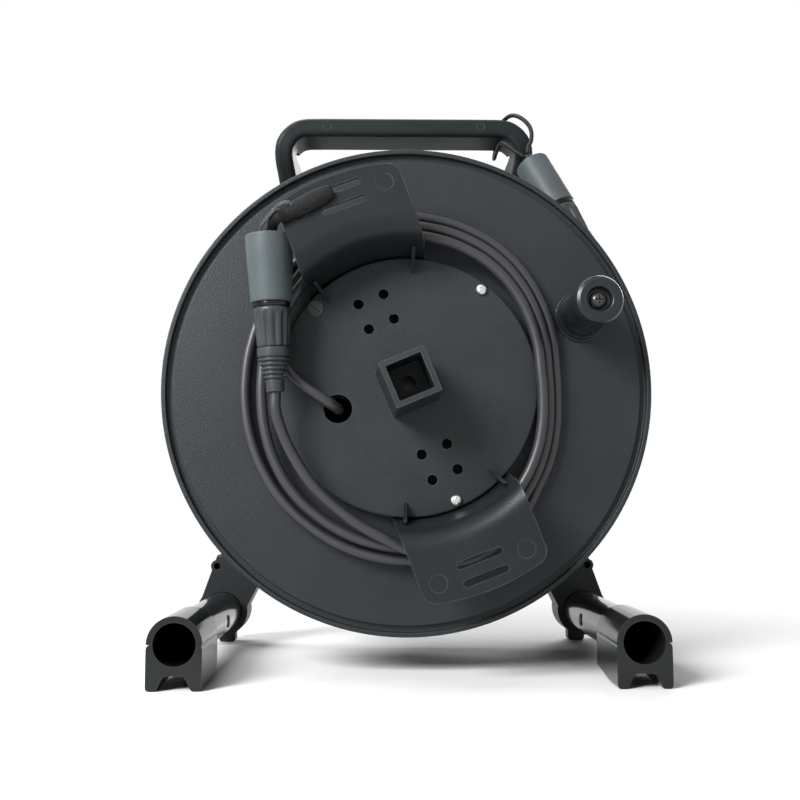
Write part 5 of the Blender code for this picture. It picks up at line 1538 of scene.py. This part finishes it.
@dataclass
class HubCover:
    """The raised hub cover with its square winding socket, hole squares, cable exit and slotted plug."""

    socket_reach: float = 0.050
    socket_front: float = 0.0285
    socket_base: float = 0.031
    opening: float = 0.022
    socket_depth: float = 0.034
    degrees: float = 112.6
    hole: float = 0.00325
    hole_pitch: float = 0.017
    hole_ring: float = 0.051
    boss: float = 0.0045
    exit_radius: float = 0.009
    exit_ring: float = 0.0457
    plug_radius: float = 0.005
    plug_ring: float = 0.0755
    plug_degrees: float = 139.7
    slot_degrees: float = 35.0

    def square(self, side: float, depth: float, corner: float) -> list[Vector]:
        """A rounded square across the axle, turned to the socket's angle."""
        outward, sideways = ways_at(self.degrees)
        return [spot(0, depth, 0) + outward * a + sideways * b
                for a, b in rounded(block_of(side, side), corner, 6)]

    def holes(self) -> Outline:
        """The middles of the two squares of four holes."""
        places = []
        for turn in (self.degrees, self.degrees + 180):
            outward, sideways = ways_at(turn)
            for a in (-0.5, 0.5):
                for b in (-0.5, 0.5):
                    hole = outward * (self.hole_ring + a * self.hole_pitch) + sideways * b * self.hole_pitch
                    places.append((hole.x, hole.z))
        return places

    def cover(self) -> Piece:
        """The cover with its tower and holes.

        Returns:
            The cover.
        """
        back, radius, inner = HUB_WALL - HUB_RAISE, HUB_RADIUS, HUB_RADIUS - HUB_WALL
        cover = lathe("raised_hub_cover", [
            (0, -HUB_RAISE), (radius - 0.0012, -HUB_RAISE), (radius - 0.0005, -HUB_RAISE + 0.0002),
            (radius - 0.0001, -HUB_RAISE + 0.0006), (radius, -HUB_RAISE + 0.0012), (radius, -GAP),
            (inner, -GAP), (inner, back), (0, back)], 160)
        front = -HUB_RAISE - self.socket_reach
        tower = skin("tower", [self.square(self.socket_base, -HUB_RAISE + HUB_WALL / 2, 0.0012),
                               self.square(self.socket_front, front, 0.0012)])
        cut(cover, tower, "UNION")
        fillet = skin("tower_foot", [self.square(self.socket_base + 0.0016, -HUB_RAISE + 0.0008, 0.0018),
                                     self.square(self.socket_base + 0.0014, -HUB_RAISE - 0.0001, 0.0018),
                                     self.square(self.socket_base - 0.0001, -HUB_RAISE - 0.0009, 0.0013)])
        cut(cover, fillet, "UNION")
        floor = front + self.socket_depth
        cut(cover, skin("mouth", [self.square(self.opening, floor, 0.0008),
                                  self.square(self.opening, front - 0.004, 0.0008)]))
        cut(cover, skin("relief", [self.square(self.opening, floor + HUB_WALL, 0.0008),
                                   self.square(self.opening, 0.0, 0.0008)]))
        drill(cover, [(0.0, 0.0)], self.boss, floor - OVER, floor + 2 * OVER)
        start = back - HUB_WALL / 2
        spacers = [slab("spacer", ring_of(self.boss, 32, place), start, -GAP - start)
                   for place in screw_places()]
        cut(cover, joined(spacers), "UNION")
        above, below = -HUB_RAISE - OVER, back + 0.001
        drill(cover, screw_places(), SCREW_BORE, above, OVER)
        drill(cover, self.holes(), self.hole, above, below)
        drill(cover, [across_at(self.exit_ring, EXIT_DEGREES)], self.exit_radius, above, below, 56)
        plug = across_at(self.plug_ring, self.plug_degrees)
        drill(cover, [plug], self.plug_radius - 0.001 + GAP, above, below)
        soften(cover, 0.00045, 2, 45)
        return dress(cover, HUB_PLASTIC, Body.DRUM, "hub_cover")

    def plug(self) -> Piece:
        """The slotted plug.

        Returns:
            The plug.
        """
        face, back = -HUB_RAISE - GAP, HUB_WALL - HUB_RAISE
        stem, radius = self.plug_radius - 0.001, self.plug_radius
        place = polar(self.plug_ring, self.plug_degrees, 0)
        profile = rounded([(0, face - 0.001), (radius, face - 0.001), (radius, face), (stem, face),
                           (stem, back), (0, back)], 0.0004, 3, closed=False)
        plug = lathe("slotted_hub_plug", profile, 64, place)
        slot = slab("slot", rounded(block_of(2 * radius - 0.0026, 0.0018), 0.0005, 4), face - 0.0026, 0.0028)
        slot.data.transform(from_axle(place) @ about_axle(math.radians(self.slot_degrees)))
        cut(plug, slot)
        return dress(plug, PLUG_PLASTIC, Body.DRUM, "slotted_plug")

    def build(self) -> None:
        """Makes the cover and its plug."""
        self.cover()
        self.plug()


@dataclass
class CableHolders:
    """The two holders: a curved wall at the hub cover's edge that bends out into a slotted plate."""

    places: tuple[tuple[str, float], ...] = (("upper", 110.2), ("lower", -68.9))
    sweep_degrees: float = 64.0
    half_width: float = 0.0385
    reach: float = 0.131
    bend: float = 0.014
    corner: float = 0.007
    lean: float = 0.004
    slot_length: float = 0.028
    slot_width: float = 0.0042
    slot_rings: Pair = (0.1115, 0.1225)
    fin_degrees: float = 22.6
    fin_reach: float = 0.011
    fin_height: float = 0.020
    fin_thickness: float = 0.0018
    mark_spread: float = 0.0274
    mark_ring: float = 0.1166
    mark_radius: float = 0.0053

    def profile(self) -> Outline:
        """Radius and depth round the wall and its plate.

        Returns:
            The closed profile.
        """
        half = HOLDER_WALL / 2
        foot = HUB_RADIUS + GAP + half
        start = HOLDER_HEIGHT - self.bend
        middle = [(foot, GAP), (foot + self.lean / 5, HUB_RAISE)]
        for step in range(13):
            turn = math.pi / 2 * step / 12
            middle.append((foot + self.lean + self.bend * (1 - math.cos(turn)),
                           start + self.bend * math.sin(turn)))
        middle.append((self.reach + 0.006, HOLDER_HEIGHT))
        near, far = [], []
        for index, (radius, height) in enumerate(middle):
            ahead, behind = Vector(middle[min(index + 1, len(middle) - 1)]), Vector(middle[max(index - 1, 0)])
            way = (ahead - behind).normalized()
            near.append((radius - way.y * half, height + way.x * half))
            far.append((radius + way.y * half, height - way.x * half))
        near[0], far[0] = (foot - half, GAP), (foot + half, GAP)
        return [(radius, -height) for radius, height in near + far[::-1]]

    def outline(self) -> Outline:
        """The holder seen from the front, upright, its far edge an arc.

        Returns:
            Points of (sideways, outward).
        """
        half = self.half_width
        edge = math.sqrt(self.reach ** 2 - half ** 2)
        limit = math.asin((half - self.corner) / self.reach)
        turns = [limit * (1 - step / 12) for step in range(25)]
        arc = [(self.reach * math.sin(turn), self.reach * math.cos(turn)) for turn in turns]
        corner = []
        start, middle, end = Vector((half, edge - self.corner)), Vector((half, edge)), Vector(arc[0])
        for step in range(1, 9):
            share = step / 9
            corner.append(tuple(start.lerp(middle, share).lerp(middle.lerp(end, share), share)))
        inner = CORE_RADIUS / 2
        right = [(half, inner), (half, edge - self.corner), *corner]
        return right + arc + mirrored(corner) + [(-half, edge - self.corner), (-half, inner)]

    def stadium(self, ring: float) -> Outline:
        """A slot with round ends, at its distance from the axle."""
        reach, half = (self.slot_length - self.slot_width) / 2, self.slot_width / 2
        return [(side * (reach + math.cos(math.pi * (step / 10 - 0.5)) * half),
                 ring + side * math.sin(math.pi * (step / 10 - 0.5)) * half)
                for side in (1, -1) for step in range(11)]

    def holder(self) -> Piece:
        """One holder standing straight up over the axle.

        Returns:
            The holder.
        """
        holder = lathe("holder", self.profile(), 64, sweep=math.radians(self.sweep_degrees))
        holder.data.transform(about_axle(self.first_turn(holder)))
        shape = slab("shape", self.outline(), -HOLDER_HEIGHT - 0.004, HOLDER_HEIGHT + 0.006)
        for ring in self.slot_rings:
            cut(shape, slab("slot", self.stadium(ring), -HOLDER_HEIGHT - 0.006, 0.030))
        cut(holder, shape, "INTERSECT")
        foot = HUB_RADIUS + GAP + HOLDER_WALL / 2
        for side in (-1, 1):
            outward, sideways = ways_at(90 + side * self.fin_degrees)
            tip, face = foot - self.fin_reach, -HUB_RAISE - GAP
            places = [(foot, face), (tip, face), (tip, face - 0.0015),
                      (foot + 0.0008, -HUB_RAISE - self.fin_height)]
            rings = [[spot(0, depth, 0) + outward * radius + sideways * edge * self.fin_thickness / 2
                      for radius, depth in places] for edge in (-1, 1)]
            cut(holder, skin("fin", rings), "UNION")
        face = -HOLDER_HEIGHT - HOLDER_WALL / 2
        drill(holder, [(side * self.mark_spread, self.mark_ring) for side in (-1, 1)], self.mark_radius,
              face - 0.002, face + 0.0003, 48)
        return soften(holder, 0.00055, 3, 40)

    def first_turn(self, holder: Piece) -> float:
        """The turn about the axle that brings a swept wall upright."""
        centre = sum((vertex.co for vertex in holder.data.vertices), Vector()) / len(holder.data.vertices)
        lean = centre - spot(0, 0, 0)
        return -math.atan2(lean.x, lean.z)

    def build(self) -> None:
        """Makes both holders."""
        first = self.holder()
        for label, degrees in self.places:
            holder = twin(first, f"slotted_holder_{label}", about_axle(math.radians(90 - degrees)))
            dress(holder, HOLDER_PLASTIC, Body.DRUM, f"cable_holder_{label}")
        bpy.data.objects.remove(first, do_unlink=True)


@dataclass
class WindingKnob:
    """The free-turning grip on its bolt, with its washer and nut."""

    radius: float = 0.0145
    length: float = 0.056
    counterbore: float = 0.0072
    counterbore_depth: float = 0.006
    seat_radius: float = 0.0165
    seat_height: float = 0.002
    bolt: float = 0.003
    bolt_head: float = 0.0052

    def build(self) -> None:
        """Makes the knob, its bolt, washer and nut."""
        place, forward = polar(KNOB_OFFSET, KNOB_DEGREES, 0), Vector((0, -1, 0))
        start = self.seat_height + 2 * GAP
        end = start + self.length
        floor, bore = end - self.counterbore_depth, self.bolt + GAP
        washer = rounded([(bore, GAP), (self.seat_radius, GAP), (self.seat_radius, GAP + self.seat_height),
                          (bore, GAP + self.seat_height)], 0.0006, 4)
        dress(lathe("knob_seat_washer", washer, 96, place, forward), KNOB_PLASTIC, Body.DRUM, "knob_washer")
        waist, rim, radius = self.radius - 0.0006, self.radius + 0.0005, self.radius
        profile = rounded([
            (bore, start), (rim, start), (rim, start + 0.0026), (waist, start + 0.0038),
            (waist, start + self.length * 0.6), (radius, end - 0.012), (radius, end - 0.0035),
            (radius - 0.0009, end - 0.0012), (radius - 0.0030, end), (self.counterbore + 0.0008, end),
            (self.counterbore, end - 0.0008), (self.counterbore, floor), (bore, floor)], 0.0012, 4)
        knob = lathe("turned_winding_knob", profile, 112, place, forward)
        dress(knob, KNOB_PLASTIC, Body.KNOB, "winding_knob")
        head, tip = floor + GAP, FLANGE_THICKNESS + GAP + 0.004
        bolt = lathe("domed_knob_bolt", [
            (0, -tip), (self.bolt - 0.0004, -tip), (self.bolt, -tip + 0.0004), (self.bolt, head),
            (self.bolt_head, head), (self.bolt_head, head + 0.0010), (self.bolt_head * 0.95, head + 0.0018),
            (self.bolt_head * 0.82, head + 0.0027), (self.bolt_head * 0.62, head + 0.0034),
            (self.bolt_head * 0.35, head + 0.0039), (0, head + 0.0040)], 64, place, forward)
        cross_recess(bolt, (0.0052, 0.0011), -(head + 0.0040) - 0.001, 0.0030, from_axle(place))
        dress(bolt, DARK_BOLT, Body.DRUM, "knob_bolt")
        nut = slab("hex_knob_nut", ring_of(2 * self.bolt, 6), FLANGE_THICKNESS + GAP, 0.0035)
        drill(nut, [(0.0, 0.0)], bore, 0, 0.012, 40)
        nut.data.transform(from_axle(place))
        dress(soften(nut, 0.0003, 2), ZINC_STEEL, Body.DRUM, "knob_nut")


# Stand, feet and handle


@dataclass
class Stand:
    """The moulded stand: an H of ribbed channels, open towards the drum, with a clamp round each tube."""

    inner: float = 0.066
    outer: float = 0.092
    top: float = 0.178
    half: float = 0.030
    knee_outer: Pair = (0.092, 0.020)
    knee_inner: Pair = (0.062, -0.042)
    toe_outer: Pair = (0.147, -0.121)
    toe_inner: Pair = (0.105, -0.138)
    hub_boss: float = 0.026
    leg_boss: Pair = (0.1385, -0.119)
    rib: float = 0.0025
    corner: float = 0.009
    clamp: float = 0.0185
    axle_bore: float = 0.0083
    root_size: Pair = (0.0136, 0.0346)

    def outline(self) -> Outline:
        """The whole stand seen from the front.

        Returns:
            Its points in order.
        """
        foot = (FOOT_SPREAD, FOOT_HEIGHT - AXLE_HEIGHT)
        arc = []
        for step in range(37):
            turn = math.radians(35 - 225 * step / 36)
            arc.append((foot[0] + self.clamp * math.cos(turn), foot[1] + self.clamp * math.sin(turn)))
        steps, low = 8, self.knee_inner[0] * 0.75
        ground = (FOOT_SPREAD, -AXLE_HEIGHT)
        upper = rounded([(0.0, 0.0), (0.0, self.half), (self.inner, self.half), (self.inner, self.top),
                         (self.outer, self.top), self.knee_outer, self.toe_outer, ground],
                        self.corner, steps, closed=False)[steps + 2:-1]
        under = rounded([ground, self.toe_inner, self.knee_inner, (low, -self.half),
                         (0.0, -self.half), (0.0, 0.0)], self.corner, steps, closed=False)[1:-steps - 2]
        right = upper[:-steps - 1] + arc + under[steps + 1:]
        right = [point for point in right if point[0] > 0.0005]
        return right + mirrored(right)

    def bays(self, first: tuple[Pair, Pair], second: tuple[Pair, Pair], count: int) -> list[Outline]:
        """Pockets between two edges, with walls along the edges and ribs between the pockets.

        Args:
            first: One edge's ends.
            second: The other edge's ends.
            count: How many pockets.

        Returns:
            The pockets' outlines.
        """
        (a0, a1), (b0, b1) = [(Vector(start), Vector(end)) for start, end in (first, second)]
        run = ((a1 - a0).length + (b1 - b0).length) / 2
        pockets = []
        for index in range(count):
            low, high = index / count + self.rib / 2 / run, (index + 1) / count - self.rib / 2 / run
            corners = []
            for share, side in ((low, 0), (high, 0), (high, 1), (low, 1)):
                one, other = a0.lerp(a1, share), b0.lerp(b1, share)
                across = (other - one).normalized() * STAND_WALL
                corners.append(tuple(one + across if side == 0 else other - across))
            pockets.append(rounded(corners, 0.003, 5))
        return pockets

    def pockets(self) -> list[Outline]:
        """All pockets on the right side.

        Returns:
            Their outlines.
        """
        root_low = HANDLE_ROOT[1] - self.root_size[1] / 2
        knee = self.knee_outer[1]
        found = [block_of(*self.root_size, HANDLE_ROOT)]
        found += self.bays(((self.outer, knee), (self.outer, root_low - self.rib)),
                           ((self.inner, self.half), (self.inner, root_low - self.rib)), 3)
        toe_outer = tuple(Vector(self.knee_outer).lerp(Vector(self.toe_outer), 0.93))
        toe_inner = tuple(Vector(self.knee_inner).lerp(Vector(self.toe_inner), 0.88))
        found += self.bays((self.knee_outer, toe_outer), (self.knee_inner, toe_inner), 3)
        boss = self.hub_boss + STAND_WALL
        found += self.bays(((boss, self.half), (self.inner - STAND_WALL, self.half)),
                           ((boss, -self.half), (self.knee_inner[0] * 0.75, -self.half)), 1)
        return found

    def build(self) -> None:
        """Makes the stand."""
        stand = slab("ribbed_stand", self.outline(), STAND_FRONT, STAND_DEPTH)
        right = self.pockets()
        ahead, behind, sides = STAND_FRONT - OVER, STAND_BACK + OVER, (-1, 1)
        cutters = [slab("pocket", pocket, ahead, STAND_DEPTH - STAND_WALL + OVER)
                   for pocket in right + [mirrored(pocket) for pocket in right]]
        cut(stand, joined(cutters))
        legs = [(side * self.leg_boss[0], self.leg_boss[1]) for side in sides]
        bosses = [slab("boss", ring_of(0.0046, 40, place), STAND_FRONT + GAP, STAND_DEPTH - 2 * GAP)
                  for place in legs]
        cut(stand, joined(bosses), "UNION")
        drill(stand, legs, 0.0025, ahead, STAND_BACK - 2 * STAND_WALL)
        feet = [(side * FOOT_SPREAD, FOOT_HEIGHT - AXLE_HEIGHT) for side in sides]
        drill(stand, feet, TUBE_RADIUS + GAP, ahead, behind, 72)
        drill(stand, [(0.0, 0.0)], self.axle_bore, ahead, behind)
        drill(stand, handle_screw_places(), SCREW_BORE, STAND_BACK - 2 * STAND_WALL, behind)
        soften(stand, 0.0007, 3, 40)
        dress(stand, STAND_PLASTIC, Body.FRAME, "stand")


@dataclass
class Feet:
    """The glossy foot tubes, the long front feet over their ends and the plugs behind the stand."""

    radius: float = 0.016
    bore: float = 0.01225
    lip: float = 0.004
    reach: float = 0.050
    length: float = 0.055
    prong: float = 0.006
    arch_height: float = 0.0085
    arch_top: float = 0.012
    prong_flat: float = 0.012
    prong_rise: float = 0.006
    softness: float = 0.003
    rear_length: float = 0.0125
    rear_radius: float = 0.0165
    rear_stem: float = 0.015
    rear_tab: float = 0.0124

    def tube(self, home: Vector) -> Piece:
        """A foot tube.

        Args:
            home: Its middle at the flange face's depth.

        Returns:
            The tube.
        """
        front = -self.reach + self.lip + GAP
        profile = rounded([(TUBE_BORE, front), (TUBE_RADIUS, front), (TUBE_RADIUS, STAND_BACK),
                           (TUBE_BORE, STAND_BACK)], 0.0003, 2)
        return lathe("tube", profile, 96, home)

    def front_foot(self) -> Piece:
        """A foot block over the tube's front end, its prongs rising away from the ground.

        Returns:
            The foot on the right side.
        """
        radius, ground, foot = self.radius, -FOOT_HEIGHT, self.radius - self.prong
        x, z = FOOT_SPREAD, FOOT_HEIGHT - AXLE_HEIGHT
        turns = [math.pi * step / 32 for step in range(33)]
        points = [(radius * math.cos(turn), radius * math.sin(turn)) for turn in turns]
        arch = [(-radius, ground), (-foot, ground), (-self.arch_top / 2, ground + self.arch_height),
                (self.arch_top / 2, ground + self.arch_height), (foot, ground), (radius, ground)]
        soft = rounded([(-radius, 0.0), *arch, (radius, 0.0)], self.softness, 5)
        points += [point for point in soft if point[1] < -0.0001]
        start, end = -self.reach, self.length - self.reach
        block = slab("foot", [(x + a, z + b) for a, b in points], start, self.length)
        drill(block, [(x, z)], TUBE_RADIUS + GAP, start + self.lip, end + OVER, 72)
        drill(block, [(x, z)], self.bore, start - OVER, start + self.lip + OVER, 72)
        flat, far, wide, low = start + self.prong_flat, end + OVER, radius + OVER, -AXLE_HEIGHT
        rise = self.prong_rise * (far - flat) / (self.length - self.prong_flat)
        rings = [[spot(x + edge * wide, flat, low), spot(x + edge * wide, far, low + rise),
                  spot(x + edge * wide, far, low - OVER), spot(x + edge * wide, flat, low - OVER)]
                 for edge in (-1, 1)]
        cut(block, skin("rise", rings))
        return soften(block, 0.0007, 3, 40)

    def rear_foot(self) -> Piece:
        """A plug in the tube's rear end, with a tab down to the ground.

        Returns:
            The plug on the right side.
        """
        front, stem, head = STAND_BACK + GAP, TUBE_BORE - GAP, self.rear_radius
        end = front + self.rear_length
        profile = rounded([(0, front - self.rear_stem), (stem, front - self.rear_stem), (stem, front),
                           (head, front), (head, end), (0, end)], 0.0011, 4, closed=False)
        foot = lathe("plug", profile, 88, spot(FOOT_SPREAD, 0, FOOT_HEIGHT - AXLE_HEIGHT))
        half, top = self.rear_tab / 2, -head / 2
        low = rounded([(-half, top), (-half, -FOOT_HEIGHT), (half, -FOOT_HEIGHT), (half, top)],
                      self.softness, 6)
        tab = slab("tab", [(FOOT_SPREAD + a, FOOT_HEIGHT - AXLE_HEIGHT + b) for a, b in low], front + 0.0005,
                   self.rear_length - 0.002)
        cut(foot, tab, "UNION")
        return soften(foot, 0.0006, 3, 40)

    def button(self) -> Piece:
        """The button that locks the right tube in its clamp, on the side towards the middle.

        Returns:
            The button.
        """
        place = spot(FOOT_SPREAD - TUBE_RADIUS + 0.0006, 0.066, FOOT_HEIGHT - AXLE_HEIGHT)
        profile = [(0, -0.0014), (0.0042, -0.0014), (0.0042, 0.0004), (0.0038, 0.0009), (0.0028, 0.0012),
                   (0, 0.0013)]
        return lathe("button", profile, 40, place, Vector((-1, 0, 0)))

    def build(self) -> None:
        """Makes both sides."""
        tube = self.tube(spot(FOOT_SPREAD, 0, FOOT_HEIGHT - AXLE_HEIGHT))
        firsts = (("gloss_foot_tube", tube, TUBE_GLOSS, "foot_tube"),
                  ("pronged_front_foot", self.front_foot(), FOOT_PLASTIC, "front_foot"),
                  ("rear_foot_plug", self.rear_foot(), STAND_PLASTIC, "rear_foot"))
        for label, item, finish, node in firsts:
            dress(across_middle(item, f"{label}_left"), finish, Body.FRAME, f"{node}_left")
            item.name = item.data.name = f"{label}_right"
            dress(item, finish, Body.FRAME, f"{node}_right")
        button = self.button()
        dress(across_middle(button, "tube_button_left"), STAND_PLASTIC, Body.FRAME)
        button.name = button.data.name = "tube_button_right"
        dress(button, STAND_PLASTIC, Body.FRAME)


@dataclass
class CarryHandle:
    """A flat hoop: its bar lies over the drum, and its limbs sweep back and down into the stand."""

    straight: float = 0.058
    half_width: float = 0.0915
    corner: float = 0.0042
    mark_x: float = 0.0545
    stations: list[tuple[Vector, float]] = field(default_factory=list)

    def __post_init__(self) -> None:
        """Lays out the right half, from the root to the middle, with the turn of the section."""
        limb = self.half_width - HANDLE_THICKNESS / 2
        root, low = HANDLE_ROOT
        places = [
            ((root, STAND_FRONT - 0.006, low), 0), ((root + 0.002, 0.108, low + 0.001), 14),
            ((limb - 0.002, 0.092, low + 0.007), 42), ((limb, 0.081, low + 0.018), 74),
            ((limb - 0.0015, HANDLE_MIDDLE, low + 0.0255), 90),
            ((limb - 0.007, HANDLE_MIDDLE, HANDLE_BAR - 0.0035), 90),
            ((self.straight + 0.013, HANDLE_MIDDLE, HANDLE_BAR - 0.0005), 90),
            ((self.straight, HANDLE_MIDDLE, HANDLE_BAR), 90)]
        self.stations = [(spot(*place), math.radians(turn)) for place, turn in places]

    def turn_at(self, place: Vector) -> float:
        """How far the section has turned at a place on the handle.

        Args:
            place: A place on its middle line.

        Returns:
            The angle of its depth.
        """
        best, turn = math.inf, 0.0
        for (start, low), (end, high) in zip(self.stations, self.stations[1:]):
            way = end - start
            share = max(0.0, min(1.0, (place - start).dot(way) / way.length_squared))
            gap = (place - start.lerp(end, share)).length
            if gap < best:
                best, turn = gap, low + (high - low) * share
        return turn

    def build(self) -> None:
        """Makes the handle."""
        bend = smooth_route([place for place, _ in self.stations], 46)
        root = spot(HANDLE_ROOT[0], STAND_BACK - STAND_WALL - GAP, HANDLE_ROOT[1])
        route = [root, *bend, spot(0.03, HANDLE_MIDDLE, HANDLE_BAR), spot(0, HANDLE_MIDDLE, HANDLE_BAR)]
        section = rounded(block_of(HANDLE_DEPTH, HANDLE_THICKNESS), self.corner, 6)
        rings = []
        for index, place in enumerate(route):
            along = (route[min(index + 1, len(route) - 1)] - route[max(index - 1, 0)]).normalized()
            if index < 2:
                along = Vector((0, -1, 0))
            if index >= len(route) - 2:
                along = Vector((-1, 0, 0))
            turn = self.turn_at(place)
            deep = Vector((0, math.sin(turn), math.cos(turn)))
            deep = (deep - along * deep.dot(along)).normalized()
            thick = along.cross(deep).normalized()
            rings.append([place + deep * u + thick * v for u, v in section])
        other = [[Vector((-point.x, point.y, point.z)) for point in ring] for ring in rings[:-1]]
        handle = skin("swept_carry_handle", rings + other[::-1])
        profile = [(0.0025, 0.0004), (0.0025, -0.0001), (0.0028, -0.0002), (0.0031, -0.0001),
                   (0.0031, 0.0004)]
        marks = [lathe("mark", profile, 28, spot(x, HANDLE_MIDDLE - HANDLE_DEPTH / 2, HANDLE_BAR))
                 for x in (-self.mark_x, self.mark_x)]
        dress(joined([handle, *marks]), HANDLE_PLASTIC, Body.FRAME, "carry_handle")


@dataclass
class AxleSet:
    """The axle with its washer and nut behind the stand, and the bearings and core that stay as they are."""

    radius: float = 0.008
    collar: float = 0.013
    collar_gap: float = 0.0033
    washer: float = 0.015
    washer_thickness: float = 0.002
    nut: float = 0.022
    nut_thickness: float = 0.008

    def build(self) -> None:
        """Makes the axle, washer and nut, and finishes the inner nodes."""
        washer_front = STAND_BACK + GAP
        washer_back = washer_front + self.washer_thickness
        nut_front = washer_back + GAP
        nut_back = nut_front + self.nut_thickness
        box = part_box("axle")
        start, end = box[0][1] - FACE_Y, min(nut_back + OVER, box[1][1] - FACE_Y)
        collar_front, collar_back = DRUM_WIDTH - FLANGE_THICKNESS + self.collar_gap, STAND_FRONT - GAP
        axle = lathe("turned_axle", rounded([
            (0, start), (self.radius, start), (self.radius, collar_front), (self.collar, collar_front),
            (self.collar, collar_back), (self.radius, collar_back), (self.radius, end), (0, end)],
            0.0007, 3, closed=False), 64)
        dress(axle, DARK_STEEL, Body.FRAME, "axle")
        inner = self.radius + GAP
        washer = lathe("pressed_axle_washer", rounded([
            (inner, washer_front), (self.washer, washer_front), (self.washer, washer_back),
            (inner, washer_back)], 0.0004, 3), 80)
        dress(washer, ZINC_STEEL, Body.FRAME, "axle_washer")
        nut = slab("hex_axle_nut", ring_of(self.nut / math.sqrt(3), 6), nut_front, self.nut_thickness)
        cone = lathe("chamfer", [
            (0, nut_front - 0.001), (0.0119, nut_front - 0.001), (0.0129, nut_front + 0.0012),
            (0.0129, nut_back - 0.0012), (0.0112, nut_back + 0.0002), (0, nut_back + 0.0002)], 64)
        cut(nut, cone, "INTERSECT")
        drill(nut, [(0.0, 0.0)], inner, nut_front - OVER, nut_back + OVER, 56)
        dress(soften(nut, 0.0003, 2), ZINC_STEEL, Body.FRAME, "axle_nut")
        for node, finish in (("drum_core", DRUM_PLASTIC), ("front_bush", WHITE_NYLON),
                             ("rear_bush", WHITE_NYLON), ("axle_clip", DARK_STEEL)):
            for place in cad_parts[node].material_slots:
                place.material = finish.material()
            log.info("node %s keeps its shape", node)


def main() -> None:
    """Builds the camera, the cords and then each assembly."""
    logging.basicConfig(level=logging.INFO, format="%(message)s")
    Studio().build()
    surface = Grain()
    for make in (surface.moulding, surface.edges, surface.dust):
        log.info("surface group %s", make().name)
    coil, tail = CoilOnHub(), CableTail()
    cable, outer_cable = coil.build(), tail.build()
    front = DataConnector("front", coil.connector_end, coil.connector_way, Body.DRUM,
                          cap_mouth_radius=0.0126, cap_top_radius=0.0143)
    outer = DataConnector("outer", tail.connector_end, tail.connector_way, Body.FRAME,
                          cap_mouth_radius=0.0118, cap_top_radius=0.0118)
    front_pieces = front.build()
    strap = CapStrap()
    front_pieces += [strap.build(front.top()), strap.loop(front.top())]
    coil.declare(cable, front_pieces)
    tail.declare(outer_cable, outer.build())
    HandleTie().build(outer.top(), outer.along)
    WoundCable().build()
    for assembly in (Flanges(), HubCover(), CableHolders(), WindingKnob(), Screws(), Stand(), Feet(),
                     CarryHandle(), AxleSet()):
        log.info("building %s", type(assembly).__name__)
        assembly.build()
    clear_selection()


if __name__ == "__main__":
    main()
